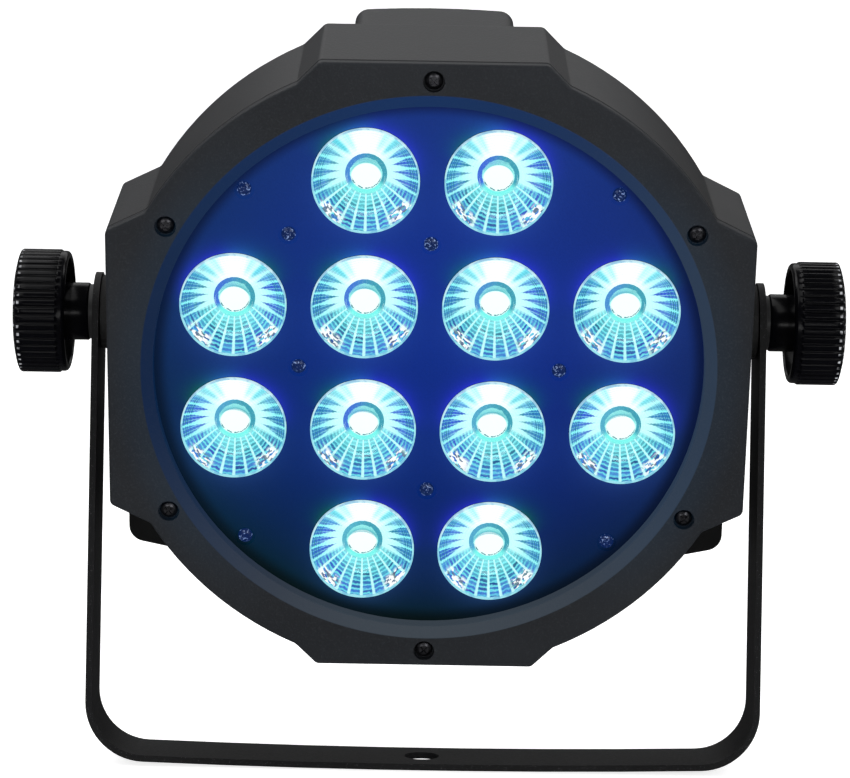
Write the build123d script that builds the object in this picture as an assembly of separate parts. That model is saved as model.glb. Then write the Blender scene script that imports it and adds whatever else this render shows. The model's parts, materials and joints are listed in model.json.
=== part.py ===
"""LED par can: a twelve-lens stage light that tilts in a U bracket.

The lamp faces -Y and +Z is up. The origin is the centre of the bracket's mounting hole, on
the underside of the bracket. Everything in the head is drawn about the tilt axis, with y
measured back from that axis, and is then tilted to its rest angle and lifted to the pivot.
"""
import os
from collections import namedtuple
from math import cos, radians, sin, sqrt

from build123d import *

# ---- pivot and bracket ----------------------------------------------------------------
PIVOT_HEIGHT = 160.0        # tilt axis above the underside of the bracket
REST_TILT = 14.7            # the head looks this many degrees down
STRIP_WIDTH = 28.0
STRIP_THICK = 2.3
BRACKET_HALF = 117.9        # outer face of an arm from the centre, at the pivot
BRACKET_SPLAY = 1.6         # an arm's foot stands this much further out than the pivot
BRACKET_BOW = 2.1           # the base's ends lie this much above its middle
BRACKET_CORNER = 21.0       # outer bend radius
MOUNT_HOLE_R = 6.2
STUD_R = 4.0                # M8 clamping stud
STUD_GAP = 0.08             # radial running clearance of the stud in the bracket and insert

# ---- head outline, seen from the front ------------------------------------------------
SIDE_HALF = 108.0           # half width across the side flats
SIDE_FLAT = 48.8            # half height of a side flat
TOP_HALF = 107.3            # half height across the top and bottom flats
TOP_FLAT = 37.3             # half width of the top and bottom flats
LOBE_R = 109.4              # the four round stretches between the flats
LOBE_FROM = 30.55           # angle above the horizontal where a round stretch starts
LOBE_TO = 65.9
OUTLINE_FILLET = 2.5

# ---- stations along the head's depth (y, from the tilt axis) ---------------------------
LENS_Y = -56.0              # plane of the lens rims
BEZEL_FRONT = LENS_Y - 4.8
BEZEL_BACK = BEZEL_FRONT + 3.5
TRAY_FRONT = LENS_Y - 0.4
PANEL_FRONT = LENS_Y + 1.7
PANEL_BACK = PANEL_FRONT + 2.0
BOARD_FRONT = LENS_Y + 16.0
SINK_FRONT = BOARD_FRONT + 1.6
SINK_BASE_BACK = SINK_FRONT + 4.4
SINK_BACK = SINK_BASE_BACK + 11.0
TRAY_BACK = LENS_Y + 53.0
POD_FRONT = LENS_Y + 46.0
BAY_BACK = LENS_Y + 62.0    # floor of the connector bay
HUMP_BACK = LENS_Y + 84.0   # rear face with the fan and the controls
POD_BACK = LENS_Y + 91.0
FOOT_BACK = POD_BACK + 2.0
DRIVER_FRONT = SINK_BACK + 4.0
DRIVER_BACK = DRIVER_FRONT + 1.6
CONTROL_BACK = HUMP_BACK - 10.0

WALL = 2.5
DRAFT = 0.0001              # share of its size that a moulding loses per mm towards the back

# ---- screws ---------------------------------------------------------------------------
Screw = namedtuple("Screw", "head_r head_h shank_r length")
BEZEL_SCREW = Screw(head_r=3.0, head_h=1.9, shank_r=1.5, length=13.0)
PANEL_SCREW = Screw(head_r=2.45, head_h=1.4, shank_r=1.45, length=8.0)
SINK_SCREW = Screw(head_r=3.5, head_h=2.2, shank_r=1.7, length=14.0)
FAN_SCREW = Screw(head_r=3.2, head_h=1.6, shank_r=1.5, length=14.0)
BOARD_SCREW = Screw(head_r=2.6, head_h=1.5, shank_r=1.3, length=8.0)
PLATE_SCREW = Screw(head_r=2.6, head_h=1.5, shank_r=1.3, length=8.0)
EYELET_SCREW = Screw(head_r=2.6, head_h=1.6, shank_r=1.3, length=9.0)
THROUGH_GAP = 0.3           # radial room in a hole that a screw passes through
PILOT_GAP = 0.05            # radial room in a hole that a screw bites into

# ---- face -----------------------------------------------------------------------------
LENS_PITCH = 44.0
LENS_R = 17.95
LENS_COLUMNS = {1.5: (-0.5, 0.5), 0.5: (-1.5, -0.5, 0.5, 1.5),
                -0.5: (-1.5, -0.5, 0.5, 1.5), -1.5: (-0.5, 0.5)}
OPENING_R = 92.8            # hole in the bezel
OPENING_LIP_R = 96.6        # where the bevel around that hole starts
BEVEL_DEPTH = 1.3
PANEL_R = 94.4
PANEL_SCREW_PROUD = 0.3     # a screw's head stands this far off the panel
BEZEL_SCREW_R = 101.5
BEZEL_SCREW_ANGLES = range(30, 390, 60)
BEZEL_SCREW_SUNK = 0.5      # a screw's head starts this far below the bezel's face
BOSS_R = 5.2
BOSS_BACK = LENS_Y + 30.0
PANEL_SCREWS = [(62.2, 62.2), (-62.2, 62.2), (62.2, -62.2), (-62.2, -62.2),
                (0, LENS_PITCH), (0, -LENS_PITCH), (LENS_PITCH, 0), (-LENS_PITCH, 0),
                (-47.5, 46.8)]

# ---- knobs ----------------------------------------------------------------------------
KNOB_R = 21.75
KNOB_RIBS = 48
KNOB_WIDTH = 19.0
KNOB_OUTER = 146.0          # outer end of the knob from the centre
KNOB_COLLAR = 2.7           # smooth band behind the ribs
KNOB_CROWN = [(2.5, 1.0), (2.0, 0.985), (1.4, 0.9), (0.7, 0.77), (0.1, 0.53), (0.0, 0.4)]
KNOB_WALL = 2.6
NECK_R = 10.15
STUD_INNER = 93.0           # inner end of the stud from the centre
WASHER_R = 9.6
WASHER_THICK = 1.5
WASHER_START = BRACKET_HALF + 0.3
NECK_START = WASHER_START + WASHER_THICK + 0.1
FRICTION_PAD_R = 13.0
BOSS_FACE = 110.4           # outer face of the housing's pivot boss from the centre
PAD_GAP = 0.35              # from a friction pad to the arm, at the pivot
INSERT_R = 6.0

# ---- rear -----------------------------------------------------------------------------
PLATEAU_R = 86.0
HUMP_R = 84.0
HUMP_FLOOR = -14.0          # the hump stops here, above the connector bay
FAN_Z = 38.0
FAN_SIZE = 60.0
FAN_THICK = 15.0
FAN_BORE = 28.8
FAN_HOLE = 25.0             # fan screws from the fan's centre, in x and in z
FAN_BACK = HUMP_BACK - WALL
FAN_FRONT = FAN_BACK - FAN_THICK
CONTROL_Z = -3.2
WINDOW_X = -26.0
WINDOW_WIDTH = 34.0
WINDOW_HEIGHT = 13.0
WINDOW_THICK = 1.6
SEAT_GAP = 0.2
BUTTON_X = (7.0, 18.0, 29.0, 40.0)
BUTTON_R = 3.2
BUTTON_GAP = 0.08
BUTTON_TRAVEL = 1.0
SWITCH_HIGH = 2.6
SOCKET_Z = -35.0
XLR_X = 38.0
PLATE_THICK = 1.5
PLATE_BACK = BAY_BACK + PLATE_THICK
FLANGE_BACK = PLATE_BACK + 2.0
PIN_TIP = FLANGE_BACK - 3.0
LATCH_Z = SOCKET_Z + 11.4
LATCH_TRAVEL = 1.4
INLET_BACK = PLATE_BACK + 3.0
INLET_SCREW_X = 19.0
DRAWER_Z = SOCKET_Z - 9.6
DRAWER_DEPTH = 17.0
EYELET_Z = -69.0
EYELET_BACK = BAY_BACK + 2.0
EYELET_SCREW_X = 11.0
BOARD_CORNERS = [(-54, -6), (54, -6), (-51, 56), (51, 56)]
SINK_CORNERS = [(-46, 79.7), (46, 79.7), (-46, -79.7), (46, -79.7)]


# ---- helpers --------------------------------------------------------------------------
def facing(y):
    """Plane at depth y for outlines drawn as seen from the front."""
    return Plane(origin=(0, y, 0), x_dir=(1, 0, 0), z_dir=(0, -1, 0))


def slab(outline, front, back, draft=0.0):
    """Solid between two depths. With draft, it narrows towards the back."""
    if draft:
        narrow = scale(outline, by=1 - draft * (back - front))
        return loft([facing(front) * outline, facing(back) * narrow], ruled=True)
    return extrude(facing(back) * outline, amount=back - front)


def back_edges(solid):
    return solid.faces().sort_by(Axis.Y)[-1].edges()


def front_edges(solid):
    return solid.faces().sort_by(Axis.Y)[0].edges()


def drum(radius, front, back, x=0.0, z=0.0):
    """Cylinder along y."""
    return Pos(x, (front + back) / 2, z) * Rot(90, 0, 0) * Cylinder(radius, back - front)


def block(width, front, back, height, x=0.0, z=0.0):
    """Box between two depths, centred on x and z."""
    return Pos(x, (front + back) / 2, z) * Box(width, back - front, height)


def axle(radius, start, end):
    """Cylinder along x on the tilt axis."""
    return Pos((start + end) / 2, 0, 0) * Rot(0, 90, 0) * Cylinder(radius, abs(end - start))


def turned(points, axis=Axis.Y):
    """Solid of revolution from a closed profile of straight lines."""
    return revolve(make_face(Polyline(*points, close=True)), axis)


def group(shapes):
    """Several separate solids as one shape."""
    return Compound([solid for shape in shapes for solid in shape.solids()])


def rounded(width, height, radius):
    return RectangleRounded(width, height, radius)


def polar(radius, angle):
    return radius * cos(radians(angle)), radius * sin(radians(angle))


def through(screw):
    return screw.shank_r + THROUGH_GAP


def pilot(screw):
    return screw.shank_r + PILOT_GAP


def cross_screw(x, z, head_y, screw, inwards=1):
    """Pan-head screw with a cross recess. Its head ends at head_y and it runs inwards."""
    head_r, head_h, shank_r, length = screw
    crown = 0.35 * head_h
    profile = [(0, 0), (0.55 * head_r, 0), (0.85 * head_r, crown), (head_r, 0.7 * head_h),
               (head_r, head_h), (shank_r, head_h), (shank_r, head_h + length - shank_r),
               (0.3 * shank_r, head_h + length), (0, head_h + length)]
    body = turned(profile)
    slot_depth = 0.6 * head_h
    for turn in (0, 90):
        arm = Pos(0, slot_depth / 2, 0) * Box(1.1 * head_r, slot_depth, 0.2 * head_r)
        body -= Rot(0, 45 + turn, 0) * arm
    if inwards < 0:
        body = Rot(0, 0, 180) * body
    return Pos(x, head_y, z) * body


def in_head(shape):
    """Tilts a head part to its rest angle and lifts it to the pivot."""
    return Pos(0, 0, PIVOT_HEIGHT) * Rot(REST_TILT, 0, 0) * shape


def lens_centres():
    for row, columns in LENS_COLUMNS.items():
        for column in columns:
            yield column * LENS_PITCH, row * LENS_PITCH


# ---- outlines -------------------------------------------------------------------------
def head_outline(inset=0.0):
    """Lobed outline: four flats joined by four round stretches."""
    side_corner = (SIDE_HALF, SIDE_FLAT)
    top_corner = (TOP_FLAT, TOP_HALF)
    arc_start = polar(LOBE_R, LOBE_FROM)
    arc_middle = polar(LOBE_R, (LOBE_FROM + LOBE_TO) / 2)
    arc_end = polar(LOBE_R, LOBE_TO)
    quarter = Curve() + [
        Line((SIDE_HALF, 0), side_corner),
        Line(side_corner, arc_start),
        ThreePointArc(arc_start, arc_middle, arc_end),
        Line(arc_end, top_corner),
        Line(top_corner, (0, TOP_HALF)),
    ]
    half = quarter + mirror(quarter, Plane.YZ)
    outline = make_face(half + mirror(half, Plane.XZ))
    corners = [v for v in outline.vertices() if abs(v.X) > 1 and abs(v.Y) > 1]
    outline = fillet(corners, OUTLINE_FILLET)
    return offset(outline, amount=-inset) if inset else outline


def hump_outline(inset=0.0):
    """Round rear hump, cut off straight above the connector bay."""
    disc = Circle(HUMP_R - inset)
    floor = HUMP_FLOOR + inset
    keep = Pos(0, floor + HUMP_R) * Rectangle(2 * HUMP_R, 2 * HUMP_R)
    outline = disc & keep
    return fillet([v for v in outline.vertices() if v.Y < floor + 1], 6 - inset)


def top_pod_outline(inset=0.0):
    """Foot pod at the top centre, with a slightly arched top."""
    half, low, high, crown = 28.0 - inset, 69.0 + inset, 103.1 - inset, 104.1 - inset
    sides = Polyline((-half, high), (-half, low), (half, low), (half, high))
    outline = make_face(sides + ThreePointArc((half, high), (0, crown), (-half, high)))
    return fillet([v for v in outline.vertices() if v.Y > low + 1], 5 - inset)


def side_pod_outline(inset=0.0):
    """Foot pod at the lower right: upright outside, its bottom falling towards the middle."""
    points = [(106.4, -38), (106.4, -82.5), (74, -89.5), (66, -58), (80, -38)]
    outline = make_face(Polyline(*points, close=True))
    outline = fillet(outline.vertices(), 6)
    return offset(outline, amount=-inset) if inset else outline


# ---- bracket --------------------------------------------------------------------------
def bracket():
    """U strip bent from flat bar: bowed base, leaning arms with round ends."""
    top = PIVOT_HEIGHT + STRIP_WIDTH / 2
    above = top + 2 * STRIP_THICK
    foot_half = BRACKET_HALF + BRACKET_SPLAY
    head_half = BRACKET_HALF - BRACKET_SPLAY * (above - PIVOT_HEIGHT) / PIVOT_HEIGHT
    base = ThreePointArc((-foot_half, BRACKET_BOW), (0, 0), (foot_half, BRACKET_BOW))
    arms = Polyline((foot_half, BRACKET_BOW), (head_half, above), (-head_half, above),
                    (-foot_half, BRACKET_BOW))
    outline = make_face(base + arms)
    outline = fillet([v for v in outline.vertices() if v.Y < PIVOT_HEIGHT], BRACKET_CORNER)
    strip = outline - offset(outline, amount=-STRIP_THICK)
    strip = extrude(facing(0) * strip, amount=STRIP_WIDTH / 2, both=True)
    side_view = Pos(0, PIVOT_HEIGHT / 2 - 1) * Rectangle(STRIP_WIDTH, PIVOT_HEIGHT + 2)
    side_view += Pos(0, PIVOT_HEIGHT) * Circle(STRIP_WIDTH / 2)
    strip &= extrude(Plane.YZ * side_view, amount=foot_half + 1, both=True)
    strip -= Pos(0, 0, PIVOT_HEIGHT) * axle(STUD_R + STUD_GAP, -foot_half, foot_half)
    return strip - Pos(0, 0, STRIP_THICK / 2) * Cylinder(MOUNT_HOLE_R, 2 * STRIP_THICK)


# ---- face of the head -----------------------------------------------------------------
def front_bezel():
    """Frame around the face, with a bevelled round opening and six sunk screw seats."""
    plate = slab(head_outline(), BEZEL_FRONT, BEZEL_BACK)
    plate = fillet(front_edges(plate), 1.1)
    shoulder = slab(head_outline(1.6), BEZEL_BACK, TRAY_FRONT)
    collar = drum(OPENING_R + 2.2, TRAY_FRONT, PANEL_FRONT - 0.3)
    bezel = plate + shoulder + collar
    bevel = [(0, BEZEL_FRONT - 1), (OPENING_LIP_R + 0.6, BEZEL_FRONT - 1),
             (OPENING_LIP_R, BEZEL_FRONT), (OPENING_R, BEZEL_FRONT + BEVEL_DEPTH),
             (OPENING_R, PANEL_FRONT + 1), (0, PANEL_FRONT + 1)]
    bezel -= turned(bevel)
    for angle in BEZEL_SCREW_ANGLES:
        x, z = polar(BEZEL_SCREW_R, angle)
        seat = BEZEL_FRONT + BEZEL_SCREW_SUNK + BEZEL_SCREW.head_h
        bezel -= drum(BEZEL_SCREW.head_r + 0.6, BEZEL_FRONT - 1, seat, x, z)
        bezel -= drum(through(BEZEL_SCREW), BEZEL_FRONT, TRAY_FRONT + 1, x, z)
    return bezel


def bezel_screws():
    spots = [polar(BEZEL_SCREW_R, angle) for angle in BEZEL_SCREW_ANGLES]
    return group(cross_screw(x, z, BEZEL_FRONT + BEZEL_SCREW_SUNK, BEZEL_SCREW) for x, z in spots)


def face_panel():
    panel = drum(PANEL_R, PANEL_FRONT, PANEL_BACK)
    seat = PANEL_FRONT - PANEL_SCREW_PROUD + PANEL_SCREW.head_h
    for x, z in lens_centres():
        panel -= drum(LENS_R + 0.15, PANEL_FRONT - 1, PANEL_BACK + 1, x, z)
    for x, z in PANEL_SCREWS:
        panel -= drum(PANEL_SCREW.head_r + 0.95, PANEL_FRONT - 1, seat, x, z)
        panel -= drum(through(PANEL_SCREW), PANEL_FRONT, PANEL_BACK + 1, x, z)
    return panel


def panel_screws():
    head_y = PANEL_FRONT - PANEL_SCREW_PROUD
    return group(cross_screw(x, z, head_y, PANEL_SCREW) for x, z in PANEL_SCREWS)


def panel_standoffs():
    """Posts that carry the face panel off the LED board."""
    solids = []
    for x, z in PANEL_SCREWS:
        post = drum(3.0, PANEL_BACK, BOARD_FRONT, x, z)
        bore_end = PANEL_BACK + PANEL_SCREW.length + 0.5
        solids.append(post - drum(pilot(PANEL_SCREW), PANEL_BACK - 1, bore_end, x, z))
    return group(solids)


def lens():
    """Collimator lens about the origin: flat rim, curved outside, bore with a domed floor."""
    flange = 1.6
    outline = Curve() + [
        Line((0, 8.6), (0, 11.3)),
        TangentArc((0, 11.3), (2.9, 12.6), tangent=(1, 0)),
        Line((2.9, 12.6), (3.2, 14.6)),
        Line((3.2, 14.6), (5.4, 14.6)),
        ThreePointArc((5.4, 14.6), (12.3, 9.1), (17.1, flange)),
        Line((17.1, flange), (LENS_R, flange)),
        Line((LENS_R, flange), (LENS_R, 0)),
        Line((LENS_R, 0), (6.6, 0)),
        Line((6.6, 0), (6.0, 10.2)),
        Line((6.0, 10.2), (5.1, 10.2)),
        TangentArc((0, 8.6), (5.1, 10.2), tangent=(1, 0)),
    ]
    return revolve(make_face(outline), Axis.Y)


def lens_holder():
    """Cup that carries one lens by its rim and centres its foot over the LED."""
    depth = BOARD_FRONT - LENS_Y
    return turned([(17.3, 1.7), (17.9, 1.7), (17.9, depth - 0.1), (6.0, depth - 0.1),
                   (6.0, depth - 1.1), (17.3, depth - 1.1)])


def led_emitter():
    """Multi-chip LED: square package with a moulded dome."""
    depth = BOARD_FRONT - LENS_Y
    package = block(5.0, depth - 0.9, depth, 5.0)
    dome = Pos(0, depth - 0.9, 0) * Sphere(2.2)
    return package + (dome & block(6, depth - 4, depth - 0.2, 6))


def at_lenses(make):
    return [Pos(x, LENS_Y, z) * make() for x, z in lens_centres()]


# ---- light engine ---------------------------------------------------------------------
def led_board():
    board = drum(92, BOARD_FRONT, SINK_FRONT)
    for x, z in SINK_CORNERS:
        board -= drum(5.5, BOARD_FRONT - 1, SINK_FRONT + 1, x, z)
    return board


def heat_sink():
    """Cast plate with upright fins, held on four posts inside the housing."""
    fin_pitch, fin_thick, fin_reach = 8.0, 2.0, 82.0
    sink = drum(95.5, SINK_FRONT, SINK_BASE_BACK)
    for step in range(-9, 10):
        x = step * fin_pitch
        height = 2 * sqrt(fin_reach ** 2 - x ** 2)
        sink += block(fin_thick, SINK_BASE_BACK - 0.1, SINK_BACK, height, x)
    for x, z in SINK_CORNERS:
        sink -= drum(through(SINK_SCREW), SINK_FRONT - 1, SINK_BASE_BACK + 1, x, z)
    return sink


def heat_sink_screws():
    head_y = SINK_FRONT - SINK_SCREW.head_h
    return group(cross_screw(x, z, head_y, SINK_SCREW) for x, z in SINK_CORNERS)


# ---- housing --------------------------------------------------------------------------
def housing_body(inset):
    """Outer form of the housing, or with an inset the hollow inside it."""
    side_pod = side_pod_outline(inset)
    tray = slab(head_outline(inset), TRAY_FRONT - inset, TRAY_BACK - inset, DRAFT)
    stages = [
        slab(Circle(PLATEAU_R - inset), TRAY_BACK - 6, BAY_BACK - inset, 2 * DRAFT),
        slab(hump_outline(inset), BAY_BACK - 6 - inset, HUMP_BACK - inset, 2 * DRAFT),
        slab(top_pod_outline(inset), POD_FRONT - 6, POD_BACK - inset, DRAFT),
        slab(side_pod, POD_FRONT + inset, POD_BACK - inset, DRAFT),
        slab(mirror(side_pod, Plane.YZ), POD_FRONT + inset, POD_BACK - inset, DRAFT),
    ]
    if not inset:
        tray = chamfer(front_edges(tray), 0.6)
        tray = fillet(back_edges(tray), 2.2)
        stages = [fillet(back_edges(stage), 2.2) for stage in stages]
    body = tray
    for stage in stages:
        body += stage
    return body


def pivot_cheek(side):
    """Solid block inside the side wall that carries the threaded insert, with its boss."""
    cheek = block(23, LENS_Y + 38, LENS_Y + 74, 44, side * 94.2)
    cheek = fillet(cheek.edges().filter_by(Axis.X), 6)
    return cheek + axle(FRICTION_PAD_R, side * 100, side * BOSS_FACE)


def vent_slots():
    """Ring-shaped slots over the fan, broken by four bars."""
    slots = None
    for radius in (9.0, 14.0, 19.0, 24.0):
        ring = drum(radius + 1.7, HUMP_BACK - 2 * WALL, HUMP_BACK + 1, 0, FAN_Z)
        ring -= drum(radius - 1.7, HUMP_BACK - 2 * WALL - 1, HUMP_BACK + 2, 0, FAN_Z)
        slots = ring if slots is None else slots + ring
    for turn in (45, 135):
        bar = Rot(0, turn, 0) * block(60, HUMP_BACK - 20, HUMP_BACK + 5, 2.6)
        slots -= Pos(0, 0, FAN_Z) * bar
    return slots


def side_vents():
    """Rows of upright slots low in the hump's back, left and right of the fan."""
    slots = []
    for side in (-1, 1):
        for step in range(5):
            x = side * (40 + 6 * step)
            height = 34 - 4.5 * step
            slots.append(block(2.4, HUMP_BACK - 2 * WALL, HUMP_BACK + 1, height, x, 34))
    return slots


def rear_housing():
    """Moulded shell: tray, rear hump, connector bay, three foot pods and pivot bosses."""
    shell = housing_body(0) - housing_body(WALL)
    for side in (-1, 1):
        shell += pivot_cheek(side)
        shell -= axle(INSERT_R, side * 88, side * (BOSS_FACE + 1))
    for angle in BEZEL_SCREW_ANGLES:
        x, z = polar(BEZEL_SCREW_R, angle)
        boss = drum(BOSS_R, TRAY_FRONT + 0.2, BOSS_BACK, x, z)
        shell += boss & slab(head_outline(0.4), TRAY_FRONT + 0.2, BOSS_BACK, DRAFT)
        shell -= drum(pilot(BEZEL_SCREW), TRAY_FRONT - 1, BOSS_BACK - 12, x, z)
    for x, z in SINK_CORNERS:
        shell += drum(4.2, SINK_BASE_BACK, TRAY_BACK - 1, x, z)
        shell -= drum(pilot(SINK_SCREW), SINK_BASE_BACK - 1, SINK_BASE_BACK + 13, x, z)
    for x, z in BOARD_CORNERS:
        shell += drum(3.2, DRIVER_BACK, HUMP_BACK - 1, x, z)
        shell -= drum(pilot(BOARD_SCREW), DRIVER_BACK - 1, DRIVER_BACK + 9, x, z)
    shell -= vent_slots()
    for cut in side_vents():
        shell -= cut
    for x, z in fan_corners():
        shell -= drum(through(FAN_SCREW), HUMP_BACK - WALL - 1, HUMP_BACK + 1, x, z)
    shell -= block(108, BAY_BACK - WALL - 1, BAY_BACK + 1, 32, 0, SOCKET_Z)
    for x, z in plate_corners():
        shell -= drum(pilot(PLATE_SCREW), BAY_BACK - WALL - 1, BAY_BACK + 1, x, z)
    shell -= block(WINDOW_WIDTH + 2 * SEAT_GAP, HUMP_BACK - WINDOW_THICK, HUMP_BACK + 1,
                   WINDOW_HEIGHT + 2 * SEAT_GAP, WINDOW_X, CONTROL_Z)
    shell -= block(31, HUMP_BACK - WALL - 1, HUMP_BACK, 10, WINDOW_X, CONTROL_Z)
    for x in BUTTON_X:
        shell -= drum(BUTTON_R + BUTTON_GAP, HUMP_BACK - WALL - 1, HUMP_BACK + 1, x, CONTROL_Z)
    for side in (-1, 1):
        x = side * EYELET_SCREW_X
        shell -= drum(pilot(EYELET_SCREW), BAY_BACK - WALL - 1, BAY_BACK + 1, x, EYELET_Z)
    return shell


def rubber_feet():
    """Pads on the ends of the three pods."""
    pads = [Pos(0, 85) * rounded(34, 16, 5)]
    pads += [Pos(side * 89, -67) * Circle(8) for side in (-1, 1)]
    return group(fillet(back_edges(slab(pad, POD_BACK, FOOT_BACK)), 0.8) for pad in pads)


# ---- fan ------------------------------------------------------------------------------
def fan_corners():
    return [(x, FAN_Z + z) for x in (-FAN_HOLE, FAN_HOLE) for z in (-FAN_HOLE, FAN_HOLE)]


def fan_frame():
    """Square axial fan frame with a motor seat on four struts."""
    frame = slab(rounded(FAN_SIZE, FAN_SIZE, 4), FAN_FRONT, FAN_BACK)
    frame -= drum(FAN_BORE, FAN_FRONT - 1, FAN_BACK + 1)
    seat = drum(12.5, FAN_FRONT, FAN_FRONT + 2)
    for turn in (0, 90):
        seat += Rot(0, 20 + turn, 0) * block(2 * FAN_BORE + 1, FAN_FRONT, FAN_FRONT + 2, 3)
    frame += seat
    frame = Pos(0, 0, FAN_Z) * frame
    for x, z in fan_corners():
        frame -= drum(pilot(FAN_SCREW), FAN_FRONT - 1, FAN_BACK + 1, x, z)
    return frame


def fan_rotor():
    """Hub with seven pitched blades, turning on the y axis."""
    front, back = FAN_FRONT + 2.6, FAN_BACK - 1.0
    hub = fillet(back_edges(drum(13, front, back)), 1.5)
    middle = (front + back) / 2
    reach = drum(FAN_BORE - 0.9, front + 0.4, back - 0.4)
    rotor = hub
    for step in range(7):
        blade = Pos(20, middle, 0) * Rot(38, 0, 0) * Box(18, 1.3, 15)
        rotor += Rot(0, step * 360 / 7, 0) * (blade & reach)
    return Pos(0, 0, FAN_Z) * rotor


def fan_screws():
    head_y = HUMP_BACK + FAN_SCREW.head_h
    return group(cross_screw(x, z, head_y, FAN_SCREW, -1) for x, z in fan_corners())


# ---- electronics ----------------------------------------------------------------------
def driver_board():
    board = block(118, DRIVER_FRONT, DRIVER_BACK, 78, 0, 28)
    for x, z in BOARD_CORNERS:
        board -= drum(through(BOARD_SCREW), DRIVER_FRONT - 1, DRIVER_BACK + 1, x, z)
    return board


def board_screws():
    head_y = DRIVER_FRONT - BOARD_SCREW.head_h
    return group(cross_screw(x, z, head_y, BOARD_SCREW) for x, z in BOARD_CORNERS)


def transformer():
    """Switching transformer: ferrite core around a taped winding."""
    core = block(26, DRIVER_BACK + 1, DRIVER_BACK + 18, 22, -28, 22)
    winding = block(18, DRIVER_BACK, DRIVER_BACK + 15, 30, -28, 22)
    return core + winding


def capacitors():
    """Electrolytic cans standing on the driver board."""
    cans = [(8.0, 18, 8, 4), (5.0, 14, 30, 0), (5.0, 14, 44, 0), (5.0, 14, 44, 14)]
    solids = []
    for radius, length, x, z in cans:
        can = drum(radius, DRIVER_BACK, DRIVER_BACK + length, x, z)
        solids.append(fillet(back_edges(can), 0.8))
    return group(solids)


def control_board():
    board = block(100, CONTROL_BACK - 1.6, CONTROL_BACK, 14, 0, CONTROL_Z)
    for x in BUTTON_X:
        board += block(5.5, CONTROL_BACK - 0.1, CONTROL_BACK + SWITCH_HIGH, 5.5, x, CONTROL_Z)
    return board


def display_module():
    """Four-digit display behind the window."""
    return block(30, CONTROL_BACK, HUMP_BACK - WINDOW_THICK - 0.3, 9.6, WINDOW_X, CONTROL_Z)


def display_window():
    return block(WINDOW_WIDTH, HUMP_BACK - WINDOW_THICK, HUMP_BACK, WINDOW_HEIGHT, WINDOW_X, CONTROL_Z)


def menu_button(x):
    """Push button: domed cap, retaining flange inside the wall, and plunger."""
    wall_inside = HUMP_BACK - WALL
    cap = drum(BUTTON_R, wall_inside - 1.2, HUMP_BACK + 1.6, x, CONTROL_Z)
    cap = fillet(back_edges(cap), 0.9)
    flange = drum(4.4, wall_inside - 1.4, wall_inside - 0.3, x, CONTROL_Z)
    plunger_end = CONTROL_BACK + SWITCH_HIGH + BUTTON_TRAVEL + 0.3
    return cap + flange + drum(1.6, plunger_end, wall_inside - 1, x, CONTROL_Z)


# ---- connectors -----------------------------------------------------------------------
def plate_corners():
    return [(side * 57, SOCKET_Z + up) for side in (-1, 1) for up in (-12, 12)]


def xlr_corners(x):
    return [(x - 9.5, SOCKET_Z + 12), (x + 9.5, SOCKET_Z - 12)]


def connector_plate():
    """Steel plate that closes the bay and carries the three connectors."""
    plate = slab(Pos(0, SOCKET_Z) * rounded(121, 38, 5), BAY_BACK, PLATE_BACK)
    for x, z in plate_corners():
        plate -= drum(through(PLATE_SCREW), BAY_BACK - 1, PLATE_BACK + 1, x, z)
    for x in (-XLR_X, XLR_X):
        plate -= drum(11.8, BAY_BACK - 1, PLATE_BACK + 1, x, SOCKET_Z)
        for screw_x, screw_z in xlr_corners(x):
            plate -= drum(pilot(PLATE_SCREW), BAY_BACK - 1, PLATE_BACK + 1, screw_x, screw_z)
    plate -= block(28.6, BAY_BACK - 1, PLATE_BACK + 1, 28.6, 0, SOCKET_Z)
    for side in (-1, 1):
        x = side * INLET_SCREW_X
        plate -= drum(pilot(PLATE_SCREW), BAY_BACK - 1, PLATE_BACK + 1, x, SOCKET_Z)
    return plate


def xlr_shell(x):
    """Panel flange and round body, open at the back face."""
    flange = slab(Pos(x, SOCKET_Z) * rounded(26, 31, 3), PLATE_BACK, FLANGE_BACK)
    shell = flange + drum(11.6, PLATE_BACK - 20, PLATE_BACK + 0.5, x, SOCKET_Z)
    for screw_x, screw_z in xlr_corners(x):
        shell -= drum(through(PLATE_SCREW), PLATE_BACK - 1, FLANGE_BACK + 1, screw_x, screw_z)
    return shell


def xlr_in():
    """Three-pin male data input."""
    shell = xlr_shell(-XLR_X) - drum(9.4, FLANGE_BACK - 15, FLANGE_BACK + 1, -XLR_X, SOCKET_Z)
    for x, z in pin_spots(-XLR_X):
        shell -= drum(1.2, PLATE_BACK - 21, FLANGE_BACK - 14, x, z)
    return shell


def pin_spots(x):
    """Three contacts on a circle, the third straight below the centre."""
    return [(x + 3.6 * cos(radians(a)), SOCKET_Z + 3.6 * sin(radians(a))) for a in (20, 160, 270)]


def xlr_in_pins():
    pins = []
    for x, z in pin_spots(-XLR_X):
        pin = drum(1.2, PLATE_BACK - 23, PIN_TIP, x, z)
        pins.append(fillet(back_edges(pin), 0.7))
    return group(pins)


def xlr_out():
    """Three-socket female data output with a ring gap and a latch window."""
    x = XLR_X
    shell = xlr_shell(x)
    ring_gap = drum(9.6, FLANGE_BACK - 14, FLANGE_BACK + 1, x, SOCKET_Z)
    ring_gap -= drum(7.9, FLANGE_BACK - 15, FLANGE_BACK + 2, x, SOCKET_Z)
    shell -= ring_gap
    for pin_x, pin_z in pin_spots(x):
        shell -= drum(1.6, PLATE_BACK - 21, FLANGE_BACK + 1, pin_x, pin_z)
    return shell - block(7.2, PLATE_BACK, FLANGE_BACK + 1, 3.6, x, LATCH_Z)


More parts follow.
